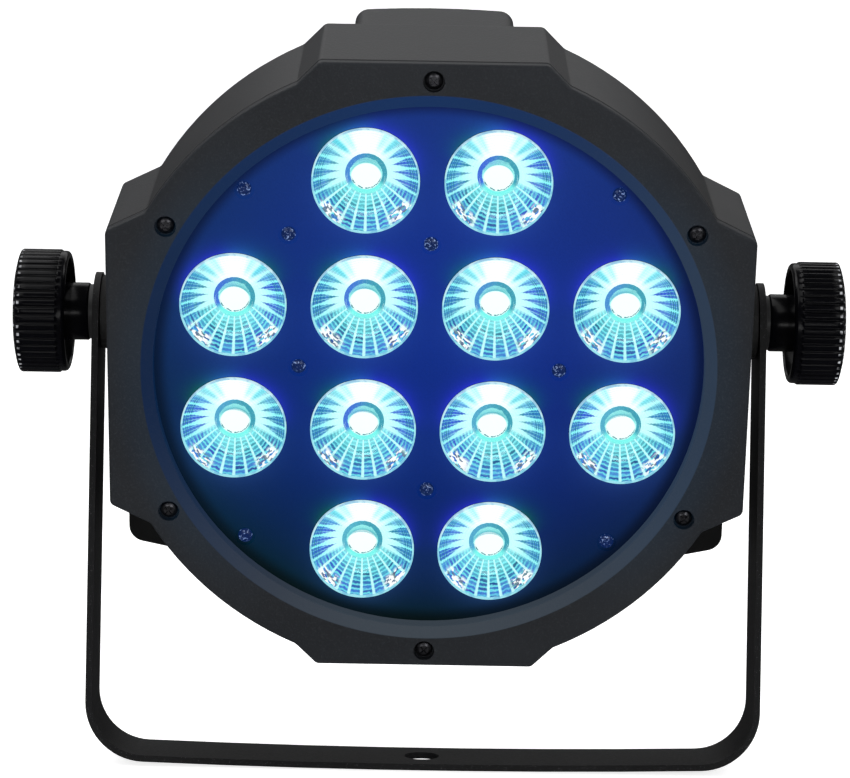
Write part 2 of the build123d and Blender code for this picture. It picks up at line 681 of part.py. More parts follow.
def xlr_out_contacts():
    """Tubular contacts inside the female insert."""
    tubes = []
    for x, z in pin_spots(XLR_X):
        tube = drum(1.6, PLATE_BACK - 22, FLANGE_BACK - 2, x, z)
        tubes.append(tube - drum(1.2, FLANGE_BACK - 14, FLANGE_BACK, x, z))
    return group(tubes)


def xlr_latch():
    """Release tab of the female connector, pushed in to free the plug."""
    tab = block(7.0, PLATE_BACK + LATCH_TRAVEL + 0.2, FLANGE_BACK + 2.4, 3.4, XLR_X, LATCH_Z)
    return fillet(back_edges(tab), 0.6)


def power_inlet():
    """Mains inlet with its recess above and a fuse drawer slot below."""
    inlet = slab(Pos(0, SOCKET_Z) * rounded(46, 31, 4), PLATE_BACK, INLET_BACK)
    inlet = fillet(back_edges(inlet), 0.8)
    inlet += block(28.2, PLATE_BACK - 20, PLATE_BACK + 0.5, 28.2, 0, SOCKET_Z)
    mouth = Polyline((-12, 3), (-12, 13), (12, 13), (12, 3), (8, -3), (-8, -3), close=True)
    recess = Pos(0, SOCKET_Z) * make_face(mouth)
    inlet -= slab(recess, INLET_BACK - 16, INLET_BACK + 1)
    inlet -= block(24.2, INLET_BACK - DRAWER_DEPTH - 1, INLET_BACK + 1, 7.4, 0, DRAWER_Z)
    for side in (-1, 1):
        x = side * INLET_SCREW_X
        inlet -= drum(through(PLATE_SCREW), PLATE_BACK - 1, INLET_BACK + 1, x, SOCKET_Z)
    for x, z in inlet_pin_spots():
        inlet -= block(2.0, PLATE_BACK - 21, INLET_BACK - 10, 4.0, x, z)
    return inlet


def inlet_pin_spots():
    return [(-7.0, SOCKET_Z + 7.5), (7.0, SOCKET_Z + 7.5), (0.0, SOCKET_Z + 3.5)]


def inlet_pins():
    return group(block(2.0, PLATE_BACK - 25, INLET_BACK - 2.5, 4.0, x, z)
                 for x, z in inlet_pin_spots())


def fuse_drawer():
    """Pull-out carrier with a grip lip and a cradle for the fuse."""
    drawer = block(23.9, INLET_BACK - DRAWER_DEPTH, INLET_BACK + 0.8, 7.1, 0, DRAWER_Z)
    lip = block(10, INLET_BACK + 0.5, INLET_BACK + 2.0, 2.2, 0, DRAWER_Z - 2.0)
    cradle = block(20.6, INLET_BACK - 13, INLET_BACK - 6, 5.8, 0, DRAWER_Z + 1.3)
    return drawer + fillet(lip.edges().filter_by(Axis.X), 0.5) - cradle


def fuse():
    """Glass cartridge fuse, 5 by 20."""
    return Pos(0, INLET_BACK - 9.5, DRAWER_Z + 1.0) * Rot(0, 90, 0) * Cylinder(2.5, 20)


def connector_screws():
    """Four screws for the plate and two for each of the three connectors."""
    seats = [(x, z, PLATE_BACK) for x, z in plate_corners()]
    seats += [(x, z, FLANGE_BACK) for middle in (-XLR_X, XLR_X) for x, z in xlr_corners(middle)]
    seats += [(side * INLET_SCREW_X, SOCKET_Z, INLET_BACK) for side in (-1, 1)]
    head_h = PLATE_SCREW.head_h
    return group(cross_screw(x, z, seat + head_h, PLATE_SCREW, -1) for x, z, seat in seats)


def safety_eyelet():
    """Steel loop on a foot plate, for the safety rope."""
    wire, span, reach = 1.9, 6.5, 9.0
    plate = slab(Pos(0, EYELET_Z) * rounded(30, 10, 4.5), BAY_BACK, EYELET_BACK)
    for side in (-1, 1):
        x = side * EYELET_SCREW_X
        plate -= drum(through(EYELET_SCREW), BAY_BACK - 1, EYELET_BACK + 1, x, EYELET_Z)
    root = BAY_BACK + 1
    bend = root + reach
    path = Curve() + [
        Line((-span, root, EYELET_Z), (-span, bend, EYELET_Z)),
        ThreePointArc((-span, bend, EYELET_Z), (0, bend + span, EYELET_Z), (span, bend, EYELET_Z)),
        Line((span, bend, EYELET_Z), (span, root, EYELET_Z)),
    ]
    section = Plane(origin=(-span, root, EYELET_Z), z_dir=(0, 1, 0)) * Circle(wire)
    return plate + sweep(section, path)


def eyelet_screws():
    head_y = EYELET_BACK + EYELET_SCREW.head_h
    return group(cross_screw(side * EYELET_SCREW_X, EYELET_Z, head_y, EYELET_SCREW, -1)
                 for side in (-1, 1))


# ---- pivot hardware -------------------------------------------------------------------
def pivot_inserts():
    """Threaded brass inserts in the housing bosses."""
    solids = []
    for side in (-1, 1):
        insert = axle(INSERT_R, side * 90, side * BOSS_FACE)
        solids.append(insert - axle(STUD_R + STUD_GAP, side * 89, side * 112))
    return group(solids)


def friction_pads():
    """Rubber washers between the housing bosses and the bracket arms."""
    solids = []
    for side in (-1, 1):
        inner = side * BOSS_FACE
        outer = side * (BRACKET_HALF - STRIP_THICK - PAD_GAP)
        pad = axle(FRICTION_PAD_R, inner, outer) - axle(STUD_R + 0.5, inner - side, outer + side)
        solids.append(pad)
    return group(solids)


def knob_washer():
    """Flat washer between the right knob and the bracket."""
    end = WASHER_START + WASHER_THICK
    return axle(WASHER_R, WASHER_START, end) - axle(STUD_R + STUD_GAP, WASHER_START - 1, end + 1)


def knob():
    """Right-hand clamping knob: ribbed wheel, hollow behind, on a neck."""
    start = KNOB_OUTER - KNOB_WIDTH
    ribs_start = start + KNOB_COLLAR
    collar_r = 0.98 * KNOB_R
    ribs = Circle(KNOB_R) - PolarLocations(KNOB_R + 0.25, KNOB_RIBS) * Circle(0.85)
    wheel = extrude(Plane.YZ.offset(ribs_start) * ribs, amount=KNOB_WIDTH - KNOB_COLLAR)
    crown = [(KNOB_OUTER - setback, share * KNOB_R) for setback, share in KNOB_CROWN]
    wheel &= turned([(ribs_start, 0), (ribs_start, KNOB_R), *crown, (KNOB_OUTER, 0)], Axis.X)
    wheel += turned([(start, 0), (start, collar_r - 1), (start + 1, collar_r),
                     (ribs_start + 0.5, collar_r), (ribs_start + 0.5, 0)], Axis.X)
    hollow = axle(KNOB_R - KNOB_WALL, start - 1, KNOB_OUTER - 5)
    wheel -= hollow - axle(NECK_R, start - 2, KNOB_OUTER)
    wheel += axle(NECK_R, NECK_START, start + 1)
    return wheel - axle(STUD_R, NECK_START - 1, KNOB_OUTER - 6)


def knob_stud():
    """Threaded stud moulded into the knob."""
    stud = axle(STUD_R, STUD_INNER, KNOB_OUTER - 6)
    return chamfer(stud.faces().sort_by(Axis.X)[0].edges(), 0.8)


# ---- the parts ------------------------------------------------------------------------
def build_parts():
    head = {
        "front_bezel": front_bezel(),
        "bezel_screws": bezel_screws(),
        "face_panel": face_panel(),
        "panel_screws": panel_screws(),
        "panel_standoffs": panel_standoffs(),
        "lens_holders": group(at_lenses(lens_holder)),
        "led_emitters": group(at_lenses(led_emitter)),
        "led_board": led_board(),
        "heat_sink": heat_sink(),
        "heat_sink_screws": heat_sink_screws(),
        "rear_housing": rear_housing(),
        "rubber_feet": rubber_feet(),
        "fan_frame": fan_frame(),
        "fan_rotor": fan_rotor(),
        "fan_screws": fan_screws(),
        "driver_board": driver_board(),
        "board_screws": board_screws(),
        "transformer": transformer(),
        "capacitors": capacitors(),
        "control_board": control_board(),
        "display_module": display_module(),
        "display_window": display_window(),
        "connector_plate": connector_plate(),
        "xlr_in": xlr_in(),
        "xlr_in_pins": xlr_in_pins(),
        "xlr_out": xlr_out(),
        "xlr_out_contacts": xlr_out_contacts(),
        "xlr_latch": xlr_latch(),
        "power_inlet": power_inlet(),
        "inlet_pins": inlet_pins(),
        "fuse_drawer": fuse_drawer(),
        "fuse": fuse(),
        "connector_screws": connector_screws(),
        "safety_eyelet": safety_eyelet(),
        "eyelet_screws": eyelet_screws(),
        "pivot_inserts": pivot_inserts(),
        "friction_pads": friction_pads(),
    }
    for number, one_lens in enumerate(at_lenses(lens), start=1):
        head[f"lens_{number:02d}"] = one_lens
    for number, x in enumerate(BUTTON_X, start=1):
        head[f"menu_button_{number}"] = menu_button(x)
    for make in (knob, knob_stud, knob_washer):
        shape = make()
        head[f"right_{make.__name__}"] = shape
        head[f"left_{make.__name__}"] = mirror(shape, Plane.YZ)
    parts = {name: in_head(shape) for name, shape in head.items()}
    parts["bracket"] = bracket()
    return parts


os.makedirs("parts", exist_ok=True)
for node, part in build_parts().items():
    export_step(part, f"parts/{node}.step")
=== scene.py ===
"""Looks for the LED par can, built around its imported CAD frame."""

import json
import math

import bmesh
import bpy
from mathutils import Euler, Matrix, Vector


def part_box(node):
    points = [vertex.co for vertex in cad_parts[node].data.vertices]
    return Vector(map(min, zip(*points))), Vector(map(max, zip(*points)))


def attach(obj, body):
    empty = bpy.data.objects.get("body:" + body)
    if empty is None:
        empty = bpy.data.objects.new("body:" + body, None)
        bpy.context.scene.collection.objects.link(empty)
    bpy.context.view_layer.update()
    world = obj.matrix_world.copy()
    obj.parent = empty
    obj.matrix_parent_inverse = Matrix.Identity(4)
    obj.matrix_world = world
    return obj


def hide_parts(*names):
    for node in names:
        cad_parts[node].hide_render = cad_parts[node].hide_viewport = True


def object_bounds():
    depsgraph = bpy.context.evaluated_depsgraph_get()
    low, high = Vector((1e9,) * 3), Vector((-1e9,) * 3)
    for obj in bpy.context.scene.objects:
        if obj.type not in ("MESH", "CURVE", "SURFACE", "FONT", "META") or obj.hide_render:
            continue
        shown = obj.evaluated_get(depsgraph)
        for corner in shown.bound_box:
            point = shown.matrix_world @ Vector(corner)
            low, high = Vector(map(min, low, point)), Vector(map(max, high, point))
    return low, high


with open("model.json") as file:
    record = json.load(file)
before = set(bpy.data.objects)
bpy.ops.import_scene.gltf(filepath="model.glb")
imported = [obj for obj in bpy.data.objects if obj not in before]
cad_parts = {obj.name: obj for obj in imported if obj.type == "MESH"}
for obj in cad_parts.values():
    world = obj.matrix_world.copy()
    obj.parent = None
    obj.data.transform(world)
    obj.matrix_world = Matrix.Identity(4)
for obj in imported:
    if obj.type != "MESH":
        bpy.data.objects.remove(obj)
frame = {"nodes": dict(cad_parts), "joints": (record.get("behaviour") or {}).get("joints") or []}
cad_low, cad_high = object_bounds()
MM = 0.001

# ---- the head's own axes: x right, y back from the tilt axis, z up -----------------------
tilt = next(j for j in frame["joints"] if j["name"] == "head_tilt")
PIVOT = Vector(tilt["pos_m"])
REST_TILT = math.radians(14.7)
HEAD = Matrix.Translation(PIVOT) @ Matrix.Rotation(REST_TILT, 4, "X")
TO_HEAD = HEAD.inverted()


def head_box(node):
    """Lowest and highest corners of a CAD node in the head's own axes."""
    spots = [TO_HEAD @ v.co for v in frame["nodes"][node].data.vertices]
    low = Vector([min(p[i] for p in spots) for i in range(3)])
    high = Vector([max(p[i] for p in spots) for i in range(3)])
    return low, high


LENS_NAMES = [f"lens_{number:02d}" for number in range(1, 13)]
lens_boxes = {name: head_box(name) for name in LENS_NAMES}
LENS_R = (lens_boxes["lens_01"][1].x - lens_boxes["lens_01"][0].x) / 2


def lens_centre(name):
    """Middle of a lens, in the plane of its rim, in the head's axes."""
    low, high = lens_boxes[name]
    return Vector(((low.x + high.x) / 2, low.y, (low.z + high.z) / 2))


# ---- materials ---------------------------------------------------------------------------
class Look:
    """One material's node tree, built with short calls."""

    def __init__(self, name):
        self.material = bpy.data.materials.new(name)
        self.material.use_nodes = True
        self.tree = self.material.node_tree
        self.tree.nodes.clear()
        self.place = self.node("ShaderNodeTexCoord").outputs["Object"]

    def node(self, kind, inputs=None, **settings):
        made = self.tree.nodes.new(kind)
        for key, value in settings.items():
            setattr(made, key, value)
        for key, value in (inputs or {}).items():
            self.feed(made.inputs[key], value)
        return made

    def feed(self, socket, value):
        if isinstance(value, bpy.types.NodeSocket):
            self.tree.links.new(value, socket)
        elif socket.type == "RGBA" and len(value) == 3:
            socket.default_value = (*value, 1)
        else:
            socket.default_value = value

    def math(self, operation, *values):
        made = self.node("ShaderNodeMath", operation=operation)
        for socket, value in zip(made.inputs, values):
            self.feed(socket, value)
        return made.outputs[0]

    def times(self, *values):
        total = values[0]
        for value in values[1:]:
            total = self.math("MULTIPLY", total, value)
        return total

    def plus(self, *values):
        total = values[0]
        for value in values[1:]:
            total = self.math("ADD", total, value)
        return total

    def less(self, first, second):
        return self.math("SUBTRACT", first, second)

    def off(self, value, centre):
        """How far a value is from a centre."""
        return self.math("ABSOLUTE", self.less(value, centre))

    def halfway(self, first, second):
        return self.plus(self.times(first, 0.5), self.times(second, 0.5))

    def decay(self, distance, length):
        """Falls from 1 by a factor of e over each length."""
        return self.math("EXPONENT", self.math("DIVIDE", distance, -length))

    def join(self, **parts):
        """A vector from its x, y and z."""
        inputs = {"xyz".index(axis): value for axis, value in parts.items()}
        return self.node("ShaderNodeCombineXYZ", inputs).outputs[0]

    def dice(self, column, row, seed):
        """A random number for each cell of a grid."""
        cell = self.join(x=column, y=row, z=seed)
        return self.node("ShaderNodeTexWhiteNoise", {"Vector": cell}).outputs["Value"]

    def object_chance(self):
        """A random number for each object."""
        return self.node("ShaderNodeObjectInfo").outputs["Random"]

    def from_axis(self, place):
        """Distance from the y axis."""
        return self.vector("LENGTH", self.vector("MULTIPLY", place, (1, 0, 1)))

    def vector(self, operation, *values):
        made = self.node("ShaderNodeVectorMath", operation=operation)
        for socket, value in zip(made.inputs, values):
            self.feed(socket, value)
        return made.outputs["Value" if operation == "LENGTH" else "Vector"]

    def split(self, vector):
        return self.node("ShaderNodeSeparateXYZ", {0: vector}).outputs

    def fade(self, value, start, end):
        """Smooth step from 0 at start to 1 at end."""
        return self.node(
            "ShaderNodeMapRange",
            {"Value": value, "From Min": start, "From Max": end},
            interpolation_type="SMOOTHSTEP",
        ).outputs["Result"]

    def span(self, value, low, high):
        """Spreads a 0 to 1 value between two numbers."""
        return self.node(
            "ShaderNodeMapRange", {"Value": value, "To Min": low, "To Max": high}
        ).outputs["Result"]

    def scaled(self, colour, amount):
        """A colour times a number, neither held to 1."""
        inputs = {0: colour, "Scale": amount}
        return self.node("ShaderNodeVectorMath", inputs, operation="SCALE").outputs[0]

    def sum_of(self, *colours):
        total = colours[0]
        for colour in colours[1:]:
            total = self.vector("ADD", total, colour)
        return total

    def mix(self, share, first, second):
        made = self.node("ShaderNodeMix", data_type="RGBA")
        for index, value in ((0, share), (6, first), (7, second)):
            self.feed(made.inputs[index], value)
        return made.outputs[2]

    def noise(self, scale, detail=2.0, place=None, roughness=0.5):
        inputs = {"Scale": scale, "Detail": detail, "Roughness": roughness, "Vector": place or self.place}
        return self.node("ShaderNodeTexNoise", inputs).outputs["Fac"]

    def cells(self, scale, place=None, feature="F1"):
        inputs = {"Scale": scale, "Vector": place or self.place}
        return self.node("ShaderNodeTexVoronoi", inputs, feature=feature).outputs["Distance"]

    def stretched(self, scale):
        """The object's coordinates, stretched, for brushed and drawn grain."""
        return self.node("ShaderNodeMapping", {"Vector": self.place, "Scale": scale}).outputs[0]

    def in_head(self):
        """The object's coordinates in the head's own axes."""
        turn, shift = TO_HEAD.to_euler(), TO_HEAD.to_translation()
        inputs = {"Vector": self.place, "Rotation": turn[:], "Location": shift[:]}
        return self.node("ShaderNodeMapping", inputs).outputs[0]

    def bump(self, height, depth):
        inputs = {"Height": height, "Distance": depth, "Strength": 1.0}
        return self.node("ShaderNodeBump", inputs).outputs[0]

    def shader(self, **inputs):
        made = self.node("ShaderNodeBsdfPrincipled")
        for key, value in inputs.items():
            self.feed(made.inputs[key.replace("_", " ")], value)
        return made.outputs[0]

    def finish(self, surface):
        self.node("ShaderNodeOutputMaterial", {"Surface": surface})
        return self.material


# the first grey is dust on black plastic, which also stands in for painted light on the top of the
# housing; the second is dust on paint
DUST_AND_TOP_LIGHT_ON_BLACK = (0.036, 0.036, 0.037)
DUST_ON_PAINT = (0.16, 0.16, 0.17)


def moulded(name, dark, light, grain=1500.0, depth=0.06, rough=(0.42, 0.6), level=0.4, shade=None):
    """Moulded plastic: fine spark-eroded grain, faint flow marks and uneven gloss.

    The grain's depth is in mm. With shade, painted shade darkens it downwards between two heights of the
    head, and light dust patches, kept to its upper part, also stand in for painted light there.
    """
    look = Look(name)
    flow = look.noise(14, 4)
    speck = look.noise(grain, 2)
    colour = look.mix(look.fade(flow, 0.3, 0.7), dark, light)
    grain_tips = [1.9 * channel for channel in light]
    colour = look.mix(look.times(look.fade(speck, 0.5, 0.75), 0.35), colour, grain_tips)
    height = look.plus(speck, look.times(look.cells(grain * 0.55), 0.6))
    shiny = look.span(look.halfway(flow, speck), *rough)
    if shade:
        lit = look.fade(look.split(look.in_head())[2], *shade)
        # dust patches, kept to the upper part of the head, are partly painted light on its top
        dust = look.times(look.fade(look.noise(11, 5, roughness=0.7), 0.45, 0.68), lit, 0.5)
        colour = look.mix(dust, colour, DUST_AND_TOP_LIGHT_ON_BLACK)
        # painted shade: darker towards the bottom of the head
        colour = look.scaled(colour, look.span(lit, 0.2, 1.0))
    return look.finish(look.shader(
        Base_Color=colour, Roughness=shiny, Specular_IOR_Level=level,
        Normal=look.bump(height, depth * MM),
    ))


def painted(name, dark, light, peel_grain=900.0, depth=0.05, rough=(0.35, 0.5), level=0.4):
    """Powder coat or satin paint on metal, with a soft orange-peel surface and dust specks."""
    look = Look(name)
    patch = look.noise(25, 3)
    peel = look.noise(peel_grain, 3)
    dust = look.fade(look.noise(2600, 1), 0.69, 0.74)
    colour = look.mix(look.fade(patch, 0.25, 0.75), dark, light)
    colour = look.mix(look.times(dust, 0.4), colour, DUST_ON_PAINT)
    return look.finish(look.shader(
        Base_Color=colour, Roughness=look.span(peel, *rough), Specular_IOR_Level=level,
        Normal=look.bump(peel, depth * MM),
    ))


def metal(name, dark, light, grain, rough=(0.2, 0.42), depth=0.01):
    """Bare or plated metal with drawn or turned grain, given along x, y and z, and dull patches."""
    look = Look(name)
    streak = look.noise(1.0, 3, look.stretched(grain))
    patch = look.noise(60, 3)
    tone = look.plus(look.times(streak, 0.6), look.times(patch, 0.4))
    colour = look.mix(look.fade(tone, 0.3, 0.7), dark, light)
    return look.finish(look.shader(
        Base_Color=colour, Metallic=1.0, Roughness=look.span(look.halfway(streak, patch), *rough),
        Normal=look.bump(streak, depth * MM),
    ))


def board_look(name, mask, trace, silk):
    """Printed circuit: solder mask over raised tracks, with bare pads."""
    look = Look(name)
    place = look.in_head()
    grid = look.cells(260, place, "DISTANCE_TO_EDGE")
    track = look.fade(grid, 0.05, 0.09)
    pads = look.fade(look.cells(420, place), 0.16, 0.12)
    colour = look.mix(track, trace, mask)
    colour = look.mix(look.times(pads, 0.8), colour, silk)
    colour = look.mix(look.times(look.noise(30, 3), 0.3), colour, mask)
    return look.finish(look.shader(
        Base_Color=colour, Roughness=look.span(look.noise(300), 0.25, 0.42), Specular_IOR_Level=0.5,
        Normal=look.bump(look.less(1.0, track), 0.03 * MM),
    ))


def from_bytes(*channels):
    """Display colour, 0 to 255, as linear light."""
    return tuple(((c / 255 + 0.055) / 1.055) ** 2.4 if c > 10 else c / 255 / 12.92 for c in channels)


# ---- lens: facets painted with the light they carry ----------------------------------------
SECTORS = 24                # fans of facets round the bowl
STEPS = 9                   # facets from the bowl's foot to its rim
SECTOR_POINTS = 6
LENS_POINTS = SECTORS * SECTOR_POINTS
FACET_ROWS = ((0.0, 0.0), (0.5, 0.42), (0.96, 0.1))    # place in a step, and lift in mm
FLUTE = 0.22 * MM           # how far the edges of a sector stand out
BORE_R = 6.6 * MM
FOOT_R = 7.0 * MM           # outer edge of the ring at the bowl's foot
RING_IN_R = 5.5 * MM
DOME_R = 4.9 * MM
FOOT_DEPTH = 9.4 * MM
BOWL_R = 17.4 * MM
BOWL_DEPTH = 1.1 * MM
LIP = 0.1 * MM              # step between the bowl's rim and the flange
CORNER = 0.15 * MM          # bevel on the flange's edges
FLANGE_BACK = 1.6 * MM
CORE_PROFILE = (            # radius and depth in mm, from the ring to the middle of the dome
    (5.7, 9.6), (5.5, 9.5), (5.2, 9.3), (4.4, 9.15), (3.2, 9.05), (2.0, 9.0), (1.0, 8.98),
)
CLEAR_PROFILE = (           # front face, rounded mouth and wall of the bore
    (BOWL_R + LIP, LIP), (BORE_R + 0.25 * MM, 0.05 * MM), (BORE_R, 0.3 * MM), (6.0 * MM, 9.0 * MM),
)
FACET_BUMP = 0.004 * MM
UNLIT = (0.01, 0.04, 0.06)  # the acrylic's own colour under the painted light
WHITE = from_bytes(244, 255, 252)
PALE = from_bytes(200, 250, 247)
CYAN = from_bytes(135, 238, 240)
AQUA = from_bytes(105, 215, 224)
DEEP_GREEN = from_bytes(24, 112, 134)
DEEP_BLUE = from_bytes(30, 56, 186)
HAZE_BLUE = from_bytes(66, 118, 214)
SIDE_GREEN = from_bytes(36, 124, 150)
VIOLET = from_bytes(52, 58, 206)
SIDE_BLUE = from_bytes(28, 92, 184)
INK = from_bytes(8, 40, 96)
SPARK = from_bytes(255, 250, 247)
SPARK_SHADE = from_bytes(104, 92, 104)
CREAM = from_bytes(255, 244, 232)
ROSE_WHITE = from_bytes(255, 246, 252)
RING_CYAN = from_bytes(84, 170, 190)
RING_BLUE = from_bytes(62, 96, 204)
RING_GREEN = from_bytes(62, 150, 168)
RING_FOOT = from_bytes(120, 236, 226)
DOME_EDGE = from_bytes(158, 240, 232)
DOME_WHITE = from_bytes(240, 255, 248)
DOME_ARC = from_bytes(108, 196, 200)
HEM_GREEN = from_bytes(30, 122, 132)
RIM_LOW = from_bytes(165, 238, 248)
RIM_HIGH = from_bytes(214, 248, 255)
RIM_BLUE = from_bytes(70, 160, 214)


def flat_polar(look):
    """Upward share of the direction from the lens axis, and distance from that axis."""
    x, _, z = look.split(look.place)
    reach = look.math("MAXIMUM", look.vector("LENGTH", look.join(x=x, z=z)), 0.1 * MM)
    return look.math("DIVIDE", z, reach), reach


def lens_facets_look():
    """Rows of facets: dashes below, tapering dark wedges at the sides, a white fan above."""
    look = Look("lens_facets")
    uv = look.node("ShaderNodeUVMap", uv_map="facets").outputs[0]
    around, out, _ = look.split(uv)
    sector = look.times(around, SECTORS)
    sector_number = look.math("FLOOR", sector)
    tone = look.object_chance()
    seed = look.times(tone, 37.0)
    sector_chance = look.dice(sector_number, 3.5, seed)
    waver = look.less(look.noise(700, 3), 0.5)
    step = look.plus(look.times(out, STEPS), look.times(waver, 0.9), look.times(sector_chance, 0.45))
    along = look.math("FRACT", step)
    across = look.off(look.math("FRACT", sector), 0.5)
    thread = look.off(look.math("FRACT", look.times(sector, 3.0)), 0.5)
    chance = look.dice(sector_number, look.math("FLOOR", step), seed)
    fleck = look.dice(
        look.math("FLOOR", look.plus(look.times(sector, 3.0), look.times(waver, 2.0))),
        look.math("FLOOR", look.times(step, 2.6)), seed,
    )
    up, _ = flat_polar(look)
    lean = look.span(look.math("GREATER_THAN", tone, 0.5), -1.0, 1.0)
    blue_side = look.fade(look.times(look.split(look.place)[0], lean), 1 * MM, 9 * MM)
    low = look.fade(up, -0.16, -0.5)
    high = look.fade(up, 0.45, 0.9)
    line = look.fade(across, 0.33, 0.43)

    # the lower facets: dark dashes between pale lines, with sparks near the rim
    dash = look.times(look.fade(along, 0.02, 0.22), look.fade(along, 0.78, 0.55), look.less(1.0, line))
    dash_depth = look.span(look.fade(out, 0.0, 0.55), 0.45, 1.0)
    dash = look.times(dash, dash_depth, look.span(chance, 0.62, 1.0))
    deep = look.mix(look.fade(out, 0.3, 0.85), DEEP_GREEN, DEEP_BLUE)
    deep = look.mix(look.times(look.fade(chance, 0.5, 0.95), 0.6), deep, INK)
    deep = look.mix(look.times(blue_side, 0.6), deep, VIOLET)
    haze = look.times(look.fade(out, 0.5, 1.0), look.fade(chance, 0.75, 0.2), 0.45)
    below = look.mix(look.fade(out, 0.0, 0.7), CYAN, AQUA)
    below = look.mix(haze, below, HAZE_BLUE)
    below = look.mix(look.times(line, look.span(sector_chance, 0.75, 1.0)), below, PALE)
    below = look.mix(dash, below, deep)
    spark_zone = look.times(
        look.fade(up, -0.4, -0.56), look.fade(up, -0.92, -0.8), look.fade(out, 0.66, 0.78),
    )
    below = look.mix(look.times(spark_zone, look.fade(fleck, 0.52, 0.6)), below, SPARK)
    below = look.mix(look.times(spark_zone, look.fade(fleck, 0.26, 0.2), 0.8), below, SPARK_SHADE)

    # the sides: wedges that widen outwards, crossed by fine rows near the rim
    rim_along = look.math("FRACT", look.plus(look.times(out, 15.0), look.times(waver, 0.8)))
    rim_rows = look.times(
        look.fade(rim_along, 0.15, 0.4), look.fade(rim_along, 0.95, 0.7), look.fade(across, 0.48, 0.4),
    )
    half = look.times(look.fade(out, 0.02, 0.8), look.span(sector_chance, 0.36, 0.47))
    taper = look.fade(look.less(half, look.plus(across, look.times(waver, 0.12))), 0.0, 0.12)
    taper = look.times(taper, look.span(look.fade(thread, 0.46, 0.3), 0.45, 1.0))
    side_shade = look.mix(look.fade(out, 0.35, 0.95), SIDE_GREEN, SIDE_BLUE)
    side_shade = look.mix(look.times(look.fade(chance, 0.35, 0.8), 0.4), side_shade, HAZE_BLUE)
    side_shade = look.mix(look.times(blue_side, 0.7), side_shade, VIOLET)
    side_rows = look.times(rim_rows, look.fade(out, 0.66, 0.8), look.span(chance, 0.45, 0.95))
    side = look.mix(look.fade(out, 0.15, 0.9), PALE, CYAN)
    side = look.mix(look.times(taper, look.span(sector_chance, 0.82, 1.0)), side, side_shade)
    side = look.mix(side_rows, side, DEEP_GREEN)

    # the top: a white fan with thin coloured rays
    fan = look.times(look.fade(across, 0.42, 0.1), look.fade(out, 0.0, 0.5), look.fade(up, 1.02, 0.82))
    cream = look.times(look.fade(thread, 0.3, 0.46), look.fade(up, 0.8, 0.97), 0.35)
    top_rows = look.times(
        rim_rows, look.fade(out, 0.72, 0.84), look.fade(up, 0.88, 0.6), look.span(chance, 0.2, 0.75),
    )
    above = look.mix(look.times(look.fade(out, 0.05, 0.6), look.fade(up, 1.0, 0.85)), WHITE, PALE)
    above = look.mix(look.times(look.fade(out, 0.6, 1.0), 0.6), above, PALE)
    above = look.mix(look.times(fan, look.span(sector_chance, 0.65, 1.0)), above, AQUA)
    above = look.mix(cream, above, CREAM)
    above = look.mix(look.times(look.fade(up, 0.93, 1.0), 0.5), above, ROSE_WHITE)
    above = look.mix(top_rows, above, SIDE_GREEN)

    colour = look.mix(low, look.mix(high, side, above), below)
    return look.finish(look.shader(
        Base_Color=look.mix(0.85, colour, UNLIT), Roughness=look.span(chance, 0.06, 0.16),
        Specular_IOR_Level=0.4, Emission_Color=colour, Emission_Strength=0.95,
        Normal=look.bump(look.noise(2500, 2), FACET_BUMP),
    ))


def lens_core_look():
    """Dull ring and glowing dome at the bottom of the bore."""
    look = Look("lens_core")
    up, reach = flat_polar(look)
    x, _, z = look.split(look.place)
    wobble = look.times(look.less(look.noise(900, 3), 0.5), 0.9 * MM)
    wavy = look.plus(reach, wobble)
    ring = look.fade(wavy, RING_IN_R - 0.2 * MM, RING_IN_R)
    ring_shade = look.mix(look.object_chance(), RING_CYAN, RING_BLUE)
    ring_shade = look.mix(look.fade(x, -5 * MM, 4 * MM), ring_shade, RING_GREEN)
    ring_shade = look.mix(look.fade(up, -0.35, -0.75), ring_shade, RING_FOOT)
    oval = look.join(x=look.times(x, 0.92), z=look.plus(z, 0.9 * MM))
    lowered = look.vector("LENGTH", oval)
    inner = look.fade(lowered, DOME_R, DOME_R - 0.5 * MM)
    arc = look.fade(look.off(lowered, DOME_R), 0.4 * MM, 0.1 * MM)
    arc = look.times(arc, look.fade(z, 0.0, 2 * MM), 0.7)
    hem = look.fade(look.off(wavy, RING_IN_R - 0.5 * MM), 0.35 * MM, 0.1 * MM)
    hem_dashes = look.fade(look.noise(1500, 1), 0.42, 0.5)
    hem = look.times(hem, look.fade(z, -0.5 * MM, -2.5 * MM), hem_dashes)
    dome = look.mix(inner, DOME_EDGE, DOME_WHITE)
    dome = look.mix(arc, dome, DOME_ARC)
    colour = look.mix(ring, dome, ring_shade)
    colour = look.mix(hem, colour, HEM_GREEN)
    return look.finish(look.shader(
        Base_Color=look.mix(0.85, colour, UNLIT), Roughness=look.span(look.noise(900), 0.05, 0.12),
        Specular_IOR_Level=0.4, Emission_Color=colour, Emission_Strength=0.97,
        Normal=look.bump(look.noise(1200, 2), FACET_BUMP),
    ))


def lens_clear_look():
    """The clear front face and bore wall: mostly see-through, glossy at a slant."""
    look = Look("lens_clear")
    skin = look.bump(look.noise(420, 2), 0.006 * MM)
    facing = look.node("ShaderNodeLayerWeight", {"Blend": 0.5, "Normal": skin}).outputs["Facing"]
    share = look.plus(0.035, look.times(look.math("POWER", facing, 4.0), 0.5))
    shine = look.node("ShaderNodeBsdfGlossy", {
        "Color": (0.9, 1.0, 1.0), "Roughness": look.span(look.noise(700), 0.02, 0.07), "Normal": skin,
    }).outputs[0]
    clear = look.node("ShaderNodeBsdfTransparent", {"Color": (0.97, 1.0, 1.0)}).outputs[0]
    mixed = look.node("ShaderNodeMixShader", {0: share, 1: clear, 2: shine}).outputs[0]
    return look.finish(mixed)


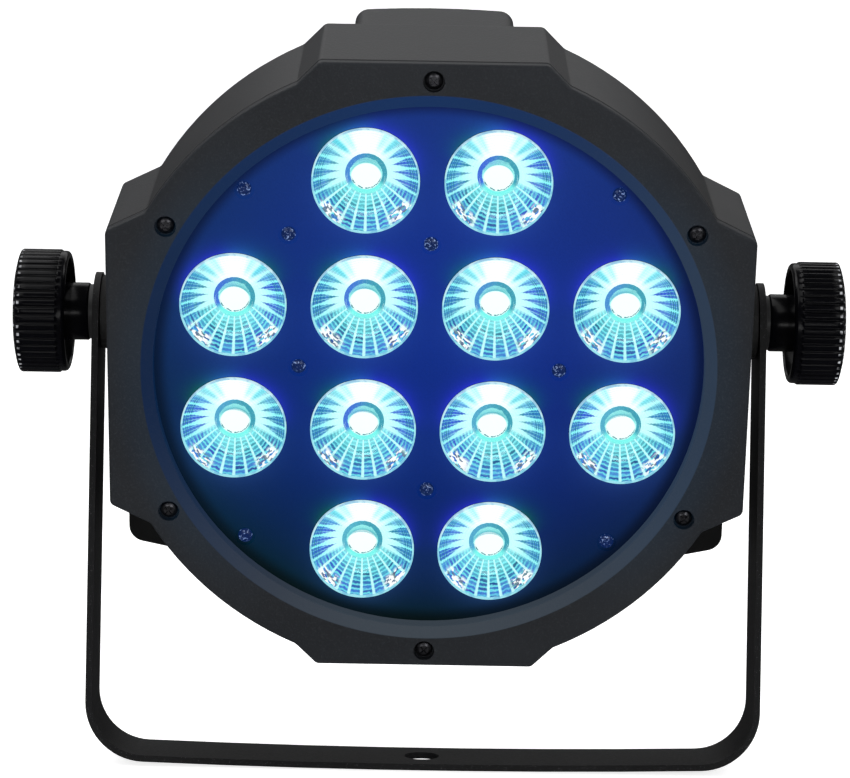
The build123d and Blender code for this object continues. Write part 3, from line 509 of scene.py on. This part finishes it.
def lens_rim_look():
    """The flange: a thin bright edge that pipes light out."""
    look = Look("lens_rim")
    _, _, z = look.split(look.place)
    tint = look.mix(look.fade(z, -4 * MM, 12 * MM), RIM_LOW, RIM_HIGH)
    tint = look.mix(look.times(look.fade(look.noise(260, 3), 0.45, 0.6), 0.5), tint, RIM_BLUE)
    return look.finish(look.shader(
        Base_Color=(0.02, 0.06, 0.08), Roughness=look.span(look.noise(500), 0.08, 0.2),
        Emission_Color=tint, Emission_Strength=0.85, Normal=look.bump(look.noise(900), FACET_BUMP),
    ))


def bowl_profile(share):
    """Radius and depth of the facet bowl, from its foot at 0 to its rim at 1."""
    radius = FOOT_R + (BOWL_R - FOOT_R) * share
    fall = 1 - share
    depth = BOWL_DEPTH + (FOOT_DEPTH - BOWL_DEPTH) * (1.35 * fall - 0.35 * fall * fall)
    return radius, depth


def link_object(name, data):
    made = bpy.data.objects.new(name, data)
    bpy.context.scene.collection.objects.link(made)
    return made


def smooth_object(name, mesh, material):
    mesh.materials.append(material)
    mesh.update()
    mesh.shade_smooth()
    return link_object(name, mesh)


def mesh_from(bm, name):
    """The finished mesh of a bmesh, which is freed."""
    mesh = bpy.data.meshes.new(name)
    bm.to_mesh(mesh)
    bm.free()
    return mesh


def ring_of(bm, radius, depth):
    """A ring of points round the lens axis, starting straight down."""
    spots = []
    for index in range(LENS_POINTS):
        angle = 2 * math.pi * index / LENS_POINTS
        spots.append(bm.verts.new((radius * math.sin(angle), depth, -radius * math.cos(angle))))
    return spots


def skin_rings(bm, first, second, material, flip=False):
    """A band of faces between two rings with as many points."""
    count = len(first)
    for index in range(count):
        following = (index + 1) % count
        corners = [first[index], first[following], second[following], second[index]]
        face = bm.faces.new(corners[::-1] if flip else corners)
        face.material_index = material


def lens_mesh():
    """Facet bowl, ring and dome in the bore, flange, and the clear front with its bore wall."""
    bm = bmesh.new()
    uv_layer = bm.loops.layers.uv.new("facets")
    facets, core, clear, rim = range(4)

    rows = []
    for step in range(STEPS):
        rows += [((step + part) / STEPS, lift * MM) for part, lift in FACET_ROWS]
    rows.append((1.0, 0.0))
    grid = []
    for share, lift in rows:
        radius, depth = bowl_profile(share)
        ring = ring_of(bm, radius, depth - lift)
        for index, spot in enumerate(ring):
            spot.co.y -= FLUTE * math.cos(2 * math.pi * index / SECTOR_POINTS) * (0.4 + share)
        grid.append(ring)
    for row in range(len(grid) - 1):
        for index in range(LENS_POINTS):
            following = (index + 1) % LENS_POINTS
            face = bm.faces.new((
                grid[row][index], grid[row + 1][index], grid[row + 1][following], grid[row][following],
            ))
            face.material_index = facets
            corners = ((index, row), (index, row + 1), (index + 1, row + 1), (index + 1, row))
            for loop, (column, line) in zip(face.loops, corners):
                loop[uv_layer].uv = (column / LENS_POINTS, rows[line][0])

    last = ring_of(bm, FOOT_R, FOOT_DEPTH)
    skin_rings(bm, grid[0], last, core)
    for radius, depth in CORE_PROFILE:
        ring = ring_of(bm, radius * MM, depth * MM)
        skin_rings(bm, last, ring, core)
        last = ring
    bm.faces.new(last).material_index = core

    edge = ring_of(bm, BOWL_R, BOWL_DEPTH)
    skin_rings(bm, edge, grid[-1], rim)
    inner = ring_of(bm, BOWL_R + LIP, CORNER)
    outer = ring_of(bm, LENS_R - CORNER, 0.0)
    corner = ring_of(bm, LENS_R, CORNER)
    back = ring_of(bm, LENS_R, FLANGE_BACK)
    back_in = ring_of(bm, BOWL_R, FLANGE_BACK)
    for first, second in ((inner, edge), (outer, inner), (corner, outer), (back, corner), (back_in, back)):
        skin_rings(bm, first, second, rim)

    front = [ring_of(bm, radius, depth) for radius, depth in CLEAR_PROFILE]
    for first, second in zip(front, front[1:]):
        skin_rings(bm, first, second, clear)
    bm.normal_update()
    return mesh_from(bm, "lens")


shared_lens = lens_mesh()
for material in (lens_facets_look(), lens_core_look(), lens_clear_look(), lens_rim_look()):
    shared_lens.materials.append(material)
for polygon in shared_lens.polygons:
    polygon.use_smooth = polygon.material_index != 0    # the facets stay flat
for name in LENS_NAMES:
    piece = link_object(f"{name}_faceted", shared_lens)
    piece.matrix_world = HEAD @ Matrix.Translation(lens_centre(name))
    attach(piece, "head")
    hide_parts(name)


# ---- knobs ---------------------------------------------------------------------------------
KNOB_RIBS = 48
POINTS_PER_RIB = 8
KNOB_POINTS = KNOB_RIBS * POINTS_PER_RIB
KNOB_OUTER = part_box("right_knob")[1].x
STUD_HOLE_R = 4.1 * MM
GROOVE = 0.75 * MM
GLINT_BANDS = ((1.5, 0.45), (3.0, 0.6))    # setback of the painted glints from the outer end, and half width, in mm
KNOB_PROFILE = [    # setback from the outer end in mm, share of the radius, share of the groove
    (0.0, 0.02, 0), (0.02, 0.2, 0), (0.08, 0.45, 0), (0.2, 0.56, 0), (0.5, 0.68, 0), (0.72, 0.755, 0),
    (0.78, 0.775, 0.0), (0.84, 0.79, 0.35), (1.0, 0.825, 0.6), (1.15, 0.85, 0.1), (1.22, 0.86, 0.1),
    (1.4, 0.9, 0.9), (1.7, 0.945, 1.0), (2.05, 0.983, 1.0), (2.6, 1.0, 1.0), (6.0, 1.0, 1.0),
    (11.0, 1.0, 1.0), (15.6, 1.0, 1.0), (16.0, 0.996, 0.9), (16.2, 0.985, 0.3), (16.35, 0.978, 0.0),
    (17.6, 0.978, 0), (18.3, 0.97, 0), (18.8, 0.945, 0), (19.0, 0.915, 0), (19.0, 0.88, 0),
    (18.2, 0.875, 0), (9.0, 0.86, 0),
]


def knob_mesh(name):
    """Ribbed wheel on a smooth neck, turned about x, with its outer end at the larger x."""
    low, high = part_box(name)
    radius = (high.z - low.z) / 2
    outer = max(abs(low.x), abs(high.x))
    inner = min(abs(low.x), abs(high.x))
    spots = [v.co - PIVOT for v in frame["nodes"][name].data.vertices]
    neck = max(math.hypot(p.y, p.z) for p in spots if abs(p.x) < inner + MM)
    wheel_start = min(abs(p.x) for p in spots if math.hypot(p.y, p.z) > 1.3 * neck)
    bm = bmesh.new()

    def ring_at(x, edge, cut=0.0):
        """A ring of points round the knob's axis, with its grooves cut to a depth."""
        ring = []
        for index in range(KNOB_POINTS):
            angle = 2 * math.pi * index / KNOB_POINTS
            groove = max(0.0, math.cos(2 * math.pi * index / POINTS_PER_RIB)) ** 2.2
            reach = edge - cut * groove
            ring.append(bm.verts.new((x, reach * math.cos(angle), reach * math.sin(angle))))
        return ring

    rings = []
    for setback, share, depth in KNOB_PROFILE:
        rings.append(ring_at(outer - setback * MM, radius * share, GROOVE * depth))
    floor_x = outer - KNOB_PROFILE[-1][0] * MM
    rings += [
        ring_at(floor_x, neck), ring_at(wheel_start - MM, neck), ring_at(inner + 0.5 * MM, neck),
        ring_at(inner, neck - 0.4 * MM), ring_at(inner, STUD_HOLE_R),
    ]
    for first, second in zip(rings, rings[1:]):
        skin_rings(bm, first, second, 0, flip=True)
    bm.faces.new(rings[0])
    bmesh.ops.recalc_face_normals(bm, faces=bm.faces)
    return mesh_from(bm, name)


def knob_look():
    """Near-black moulding with painted highlights: bright glinting specks on the ribs' shoulders, lit by
    emission.
    """
    look = Look("knob_black")
    x, y, z = look.split(look.place)
    flow = look.noise(40, 3)
    grain = look.noise(1500, 2)
    colour = look.mix(flow, (0.0008, 0.0009, 0.0018), (0.0018, 0.0018, 0.0028))
    turn = look.times(look.math("ARCTAN2", y, z), KNOB_RIBS / (2 * math.pi))
    rib = look.off(look.math("FRACT", turn), 0.5)
    setback = look.less(KNOB_OUTER, look.math("ABSOLUTE", x))
    # painted highlights: glinting specks in two bands near the outer end, on the ribs, as emission and a
    # lighter base colour
    painted_glint = look.plus(*[
        look.fade(look.off(setback, at * MM), wide * MM, 0.4 * wide * MM) for at, wide in GLINT_BANDS
    ])
    painted_glint = look.times(painted_glint, look.fade(rib, 0.24, 0.12), look.fade(look.noise(420, 2), 0.42, 0.66))
    return look.finish(look.shader(
        Base_Color=look.mix(painted_glint, colour, (0.35, 0.36, 0.38)), Roughness=look.span(grain, 0.16, 0.26),
        Specular_IOR_Level=0.16, Emission_Color=look.scaled((0.25, 0.25, 0.26), painted_glint),
        Emission_Strength=0.8, Normal=look.bump(grain, 0.01 * MM),
    ))


knob_gloss = knob_look()
for side, half_turns in (("left", 1), ("right", 0)):
    name = f"{side}_knob"
    knob = smooth_object(f"{name}_ribbed", knob_mesh(name), knob_gloss)
    knob.matrix_world = Matrix.Translation(PIVOT) @ Matrix.Rotation(half_turns * math.pi, 4, "Z")
    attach(knob, f"{side}_clamp")
    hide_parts(name)


# ---- face panel and bezel, with painted lamp light, studio light and shade --------------------
BEVEL_OUT_R = 96.6 * MM     # where the bevel around the opening meets the bezel's face
BEVEL_BLEND = 0.4 * MM
WASH_REACH = 14 * MM        # how far the blue light spreads outwards over the bezel
GLOW_FALL = 4 * MM
TOP_GLOW_FALL = 2.2 * MM
LEAN = 0.45                 # sideways share of a top glow's direction
UPRIGHT = 0.9               # upward share of it


def lamp_glow(look, place):
    """Three sums over the lenses: an even spill just below each one, and over its top a tight
    blue glow leaning one way and a green one leaning the other."""
    spill, crest, green = [], [], []
    for number, name in enumerate(LENS_NAMES):
        lean = -LEAN if number % 3 == 2 else LEAN
        from_lens = look.vector("SUBTRACT", place, lens_centre(name))
        offset = look.vector("MULTIPLY", from_lens, (1, 0, 1))
        lowered = look.vector("LENGTH", look.vector("ADD", offset, (0, 0, GLOW_FALL)))
        spill.append(look.decay(look.less(lowered, LENS_R), GLOW_FALL))
        reach = look.vector("LENGTH", offset)
        tight = look.decay(look.less(reach, LENS_R), TOP_GLOW_FALL)
        across, _, above = look.split(offset)
        for glow, side, start in ((crest, lean, 0.3), (green, -lean, 0.72)):
            leaning = look.plus(look.times(above, UPRIGHT), look.times(across, side))
            glow.append(look.times(tight, look.fade(look.math("DIVIDE", leaning, reach), start, 1.0)))
    return look.plus(*spill), look.plus(*crest), look.plus(*green)


def panel_look():
    """Satin black panel, seen blue by the light that the lenses spill over it."""
    look = Look("panel_paint")
    place = look.in_head()
    x, _, z = look.split(place)
    grain = look.noise(1400, 2)
    patch = look.noise(22, 3)
    panel_low, panel_high = head_box("face_panel")
    panel_r = (panel_high.x - panel_low.x) / 2
    out = look.math("DIVIDE", look.from_axis(place), panel_r)
    spill, crest, green = lamp_glow(look, place)
    lit = look.sum_of(      # an even blue, its drift upwards, sideways and outwards, and the lamps
        (0.0020, 0.0215, 0.215),
        look.scaled((0.0035, 0.0100, 0.092), look.math("DIVIDE", z, panel_r)),
        look.scaled((0.0008, -0.0016, 0.018), look.math("DIVIDE", x, panel_r)),
        look.scaled((0.0010, -0.0010, -0.118), look.times(out, out)),
        look.scaled((0.0030, 0.0080, 0.028), spill),
        look.scaled((0.0110, 0.0030, 0.330), crest),
        look.scaled((0.0, 0.0750, -0.040), green),
    )
    # painted shade: the panel's light dims near the edge of the opening, under the bezel
    lit = look.scaled(lit, look.span(look.fade(out, 0.978, 0.925), 0.38, 1.0))
    lit = look.scaled(lit, look.span(look.halfway(grain, patch), 0.8, 1.2))
    return look.finish(look.shader(
        Base_Color=(0.002, 0.002, 0.003), Roughness=look.span(grain, 0.45, 0.6),
        Specular_IOR_Level=0.12, Emission_Color=lit, Emission_Strength=1.0,
        Normal=look.bump(grain, 0.04 * MM),
    ))


def panel_screw_look():
    """Dark screw heads with painted blue glints in scattered flecks, standing in for the panel's light on
    them.
    """
    look = Look("panel_screw_steel")
    fleck = look.fade(look.noise(1250, 3), 0.56, 0.66)
    glint = look.mix(fleck, (0.003, 0.013, 0.075), (0.16, 0.25, 0.5))
    return look.finish(look.shader(
        Base_Color=look.mix(fleck, (0.06, 0.07, 0.09), (0.3, 0.32, 0.36)), Metallic=1.0,
        Roughness=look.span(fleck, 0.3, 0.45), Emission_Color=glint, Emission_Strength=1.0,
        Normal=look.bump(fleck, 0.02 * MM),
    ))


def bezel_look():
    """Textured charcoal plastic, with painted light on the bevel around the opening: the lamps' blue
    spill, and greyer painted studio light on its lower and right sides.
    """
    look = Look("bezel_plastic")
    place = look.in_head()
    x, _, z = look.split(place)
    flat = look.from_axis(place)
    right, up = look.math("DIVIDE", x, flat), look.math("DIVIDE", z, flat)
    flow = look.noise(12, 4)
    speck = look.noise(1500, 2)
    colour = look.mix(look.fade(flow, 0.3, 0.7), (0.0120, 0.0140, 0.0180), (0.0160, 0.0185, 0.0230))
    colour = look.mix(look.times(look.fade(speck, 0.5, 0.72), 0.4), colour, (0.028, 0.032, 0.038))
    bevel = look.fade(flat, BEVEL_OUT_R + BEVEL_BLEND, BEVEL_OUT_R)
    # painted shade: the bevel's own colour goes near black, so that the studio lamps barely light it and
    # its light is the painted light below
    colour = look.mix(look.times(bevel, 0.8), colour, (0.001, 0.001, 0.002))
    # painted light on the bevel: the lamps' blue spill, greyer painted studio light at the bottom and
    # right, where the key light falls from the upper left, and only blue at the top and left
    upright = look.mix(look.fade(up, -0.9, 0.9), (0.036, 0.048, 0.062), (0.003, 0.024, 0.095))
    sideways = look.mix(look.fade(right, -0.7, 0.7), (0.0, 0.0065, 0.036), (0.020, 0.032, 0.055))
    spill = look.mix(look.times(right, right), upright, sideways)
    wash = look.fade(flat, BEVEL_OUT_R + WASH_REACH, BEVEL_OUT_R)
    wash = look.times(wash, look.fade(look.math("ABSOLUTE", right), 0.5, 0.9))
    lit = look.sum_of(look.scaled(spill, bevel), look.scaled((0.0, 0.005, 0.012), wash))
    height = look.plus(speck, look.times(look.cells(850), 0.6))
    return look.finish(look.shader(
        Base_Color=colour, Roughness=look.span(look.halfway(flow, speck), 0.42, 0.62),
        Specular_IOR_Level=0.3, Emission_Color=lit, Emission_Strength=1.0,
        Normal=look.bump(height, 0.06 * MM),
    ))


# ---- materials of the CAD nodes --------------------------------------------------------------
def greys(dark, light, blue=0.0):
    """A dark and a light grey, a little blue if asked."""
    return (dark, dark, dark + blue), (light, light, light + blue)


housing = moulded(
    "housing_plastic", (0.016, 0.017, 0.019), (0.021, 0.022, 0.025), shade=(-62 * MM, -22 * MM),
)
holder = moulded("holder_black", *greys(0.010, 0.016, 0.001), grain=1200)
rubber = moulded(
    "soft_rubber", *greys(0.012, 0.020), grain=900, depth=0.08, rough=(0.65, 0.85), level=0.3,
)
fan_black = moulded(
    "fan_plastic", *greys(0.011, 0.018, 0.001), grain=1300, depth=0.03, rough=(0.3, 0.45),
)
shell_black = moulded(
    "connector_black", *greys(0.010, 0.016, 0.001), grain=1800, depth=0.02, rough=(0.22, 0.34), level=0.5,
)
button_black = moulded("button_black", *greys(0.020, 0.030, 0.001), depth=0.03, rough=(0.35, 0.5))
nylon = moulded(
    "washer_nylon", *greys(0.012, 0.018, 0.001), grain=1100, depth=0.03, rough=(0.35, 0.5),
)
coated = painted(
    "bracket_coat", (0.0045, 0.0045, 0.005), (0.0075, 0.0075, 0.0085), rough=(0.48, 0.62), level=0.25,
)
satin = painted(
    "satin_black", *greys(0.012, 0.017, 0.001), peel_grain=1400, depth=0.03, rough=(0.3, 0.42),
)
oxide = metal(
    "black_oxide", (0.07, 0.07, 0.08), (0.22, 0.22, 0.24), grain=(700, 700, 700), rough=(0.25, 0.5),
    depth=0.03,
)
plated = metal("zinc_plate", (0.42, 0.42, 0.41), (0.62, 0.62, 0.6), grain=(120, 120, 2200))
chrome = metal(
    "contact_chrome", (0.6, 0.6, 0.58), (0.78, 0.78, 0.75), grain=(300, 2000, 300), rough=(0.08, 0.2),
)
brass = metal("insert_brass", (0.55, 0.4, 0.16), (0.78, 0.6, 0.28), grain=(2400, 60, 60))
cast = metal(
    "sink_cast", (0.42, 0.43, 0.44), (0.62, 0.63, 0.64), grain=(500, 500, 500), rough=(0.35, 0.6),
    depth=0.04,
)
green_board = board_look("circuit_board", (0.01, 0.09, 0.03), (0.02, 0.16, 0.055), (0.55, 0.5, 0.38))
white_board = board_look("led_board", (0.62, 0.64, 0.64), (0.72, 0.73, 0.73), (0.5, 0.45, 0.3))


def banded(name, first, second, axis, pitch):
    """Two-tone part wound or sleeved in bands along one axis of the head, with a pitch in mm."""
    look = Look(name)
    along = look.split(look.in_head())["xyz".index(axis)]
    wave = look.math("SINE", look.times(along, 2 * math.pi / (pitch * MM)))
    grain = look.noise(800, 2)
    colour = look.mix(look.fade(wave, -0.2, 0.2), first, second)
    colour = look.mix(look.times(grain, 0.25), colour, [0.5 * channel for channel in first])
    return look.finish(look.shader(
        Base_Color=colour, Roughness=look.span(grain, 0.35, 0.6),
        Normal=look.bump(look.plus(wave, grain), 0.03 * MM),
    ))


def tinted_window():
    """Dark red window over the display."""
    look = Look("display_window")
    grain = look.noise(500, 2)
    colour = look.mix(grain, (0.05, 0.002, 0.003), (0.075, 0.004, 0.004))
    return look.finish(look.shader(
        Base_Color=colour, Roughness=look.span(grain, 0.05, 0.12), Specular_IOR_Level=0.5,
        Coat_Weight=0.5, Coat_Roughness=0.04, Normal=look.bump(grain, 0.004 * MM),
    ))


def glass_tube():
    """Glass fuse with a metal cap on each end."""
    look = Look("fuse_glass")
    x, _, _ = look.split(look.in_head())
    caps = look.fade(look.math("ABSOLUTE", x), 4.9 * MM, 5.1 * MM)
    grain = look.noise(900, 2)
    colour = look.mix(caps, (0.75, 0.8, 0.82), (0.7, 0.7, 0.68))
    return look.finish(look.shader(
        Base_Color=colour, Metallic=caps, Roughness=look.span(grain, 0.05, 0.16),
        Normal=look.bump(grain, 0.004 * MM),
    ))


def led_look():
    """Lit multi-chip LED."""
    look = Look("led_package")
    grain = look.noise(1500, 2)
    chips = look.mix(grain, from_bytes(150, 240, 255), from_bytes(235, 255, 255))
    return look.finish(look.shader(
        Base_Color=(0.6, 0.65, 0.6), Roughness=look.span(grain, 0.15, 0.3),
        Emission_Color=chips, Emission_Strength=1.5, Normal=look.bump(grain, 0.01 * MM),
    ))


NODE_LOOKS = {
    coated: ["bracket"],
    housing: ["rear_housing"],
    bezel_look(): ["front_bezel"],
    panel_look(): ["face_panel"],
    panel_screw_look(): ["panel_screws"],
    oxide: ["bezel_screws", "fan_screws", "connector_screws", "eyelet_screws"],
    plated: [
        "board_screws", "heat_sink_screws", "left_knob_stud", "right_knob_stud", "safety_eyelet",
        "panel_standoffs",
    ],
    chrome: ["xlr_in_pins", "xlr_out_contacts", "inlet_pins", "xlr_latch"],
    brass: ["pivot_inserts"],
    cast: ["heat_sink"],
    holder: ["lens_holders"],
    rubber: ["rubber_feet", "friction_pads"],
    fan_black: ["fan_frame", "fan_rotor"],
    satin: ["connector_plate"],
    shell_black: ["xlr_in", "xlr_out", "power_inlet", "fuse_drawer"],
    button_black: [f"menu_button_{number}" for number in range(1, 5)],
    nylon: ["left_knob_washer", "right_knob_washer"],
    green_board: ["driver_board", "control_board"],
    white_board: ["led_board"],
    banded("transformer_core", (0.35, 0.27, 0.03), (0.03, 0.028, 0.026), "x", 24): ["transformer"],
    banded("capacitor_sleeve", (0.02, 0.02, 0.06), (0.12, 0.12, 0.13), "y", 12): ["capacitors"],
    banded("display_digits", (0.03, 0.02, 0.02), (0.05, 0.03, 0.03), "x", 7.5): ["display_module"],
    tinted_window(): ["display_window"],
    glass_tube(): ["fuse"],
    led_look(): ["led_emitters"],
}
for material, nodes in NODE_LOOKS.items():
    for node in nodes:
        piece = frame["nodes"][node]
        if not piece.data.materials:
            piece.data.materials.append(material)
        for slot in piece.material_slots:
            slot.material = material


# ---- stage, lights and camera --------------------------------------------------------------
FLOOR_REACH = 4.0           # metres to the sides and the front
BEND_START = 1.6            # where the floor starts to curve up, behind the object
BEND_R = 1.2
BEND_STEPS = 12
WALL_TOP = 3.0
FLOOR_DROP = 0.2 * MM       # keeps the floor just under the bracket
WORLD_FILL = 0.06
LIGHTS = {                  # place, width and height in metres, power in watts
    "top_softbox": ((-0.45, -0.1, 1.3), (2.0, 0.8), 6.4),
    "front_right": ((0.9, -1.4, 1.0), (0.5, 0.9), 3.1),
    "front_left": ((-1.0, -1.3, 1.2), (0.5, 0.9), 2.0),
    "right_strip": ((1.1, -0.3, 0.5), (0.25, 1.0), 1.4),
    "left_strip": ((-1.1, -0.1, 0.8), (0.25, 1.0), 1.3),
    "upper_left": ((-0.8, 0.25, 1.2), (0.6, 0.8), 2.4),
    "upper_right": ((0.8, 0.25, 1.2), (0.6, 0.8), 3.2),
    "rear_fill": ((0.1, 1.3, 1.2), (1.4, 0.8), 2.6),
    "low_front": ((0.0, -1.1, 0.1), (1.2, 0.12), 1.8),
}
SENSOR_WIDTH = 36.0         # mm
FOCAL_LENGTH = 134.4        # mm
CAMERA_FROM_PIVOT = Vector((-0.00295, -1.11947, 0.08265))
CAMERA_TURN = (84.475, -0.98, 0.0)


def stage_look():
    """Even, matt, near-white paper."""
    look = Look("stage_white")
    soft = look.noise(3, 2)
    colour = look.mix(soft, (0.86, 0.86, 0.86), (0.88, 0.88, 0.88))
    return look.finish(look.shader(
        Base_Color=colour, Roughness=0.9, Specular_IOR_Level=0.0, Emission_Color=(1, 1, 1),
        Emission_Strength=0.8, Normal=look.bump(soft, 0.1 * MM),
    ))


def make_stage():
    """Pale floor that curves up into a backdrop."""
    profile = [(-FLOOR_REACH, 0.0), (BEND_START, 0.0)]
    for step in range(1, BEND_STEPS + 1):
        angle = math.radians(90 * step / BEND_STEPS)
        profile.append((BEND_START + BEND_R * math.sin(angle), BEND_R * (1 - math.cos(angle))))
    profile.append((BEND_START + BEND_R, WALL_TOP))
    bm = bmesh.new()
    left = [bm.verts.new((-FLOOR_REACH, y, z - FLOOR_DROP)) for y, z in profile]
    right = [bm.verts.new((FLOOR_REACH, y, z - FLOOR_DROP)) for y, z in profile]
    for index in range(len(profile) - 1):
        bm.faces.new((left[index], right[index], right[index + 1], left[index + 1]))
    floor = smooth_object("studio_floor", mesh_from(bm, "studio_floor"), stage_look())
    floor.visible_glossy = False


def area_light(name, spot, size, power, target):
    data = bpy.data.lights.new(name, "AREA")
    data.shape = "RECTANGLE"
    data.size, data.size_y = size
    data.energy = power
    lamp = link_object(name, data)
    lamp.location = spot
    lamp.rotation_euler = (target - Vector(spot)).to_track_quat("-Z", "Y").to_euler()


def light_world():
    """A white background to the eye that gives only a little light."""
    world = bpy.data.worlds.new("studio")
    bpy.context.scene.world = world
    world.use_nodes = True
    nodes, links = world.node_tree.nodes, world.node_tree.links
    background = nodes["Background"]
    background.inputs["Color"].default_value = (1, 1, 1, 1)
    strength = nodes.new("ShaderNodeMapRange")
    strength.inputs["To Min"].default_value = WORLD_FILL
    strength.inputs["To Max"].default_value = 1.0
    seen = nodes.new("ShaderNodeLightPath").outputs["Is Camera Ray"]
    links.new(seen, strength.inputs["Value"])
    links.new(strength.outputs["Result"], background.inputs["Strength"])


make_stage()
middle = (cad_low + cad_high) / 2
for name, (spot, size, power) in LIGHTS.items():
    area_light(name, spot, size, power, middle)
light_world()

view = bpy.context.scene.view_settings
view.view_transform = "Standard"
view.look = "None"

camera_data = bpy.data.cameras.new("camera")
camera_data.sensor_width = SENSOR_WIDTH
camera_data.lens = FOCAL_LENGTH
camera_data.clip_start = 0.05
camera = link_object("camera", camera_data)
camera.location = PIVOT + CAMERA_FROM_PIVOT
camera.rotation_euler = Euler([math.radians(angle) for angle in CAMERA_TURN], "XYZ")
bpy.context.scene.camera = camera

bpy.context.view_layer.update()
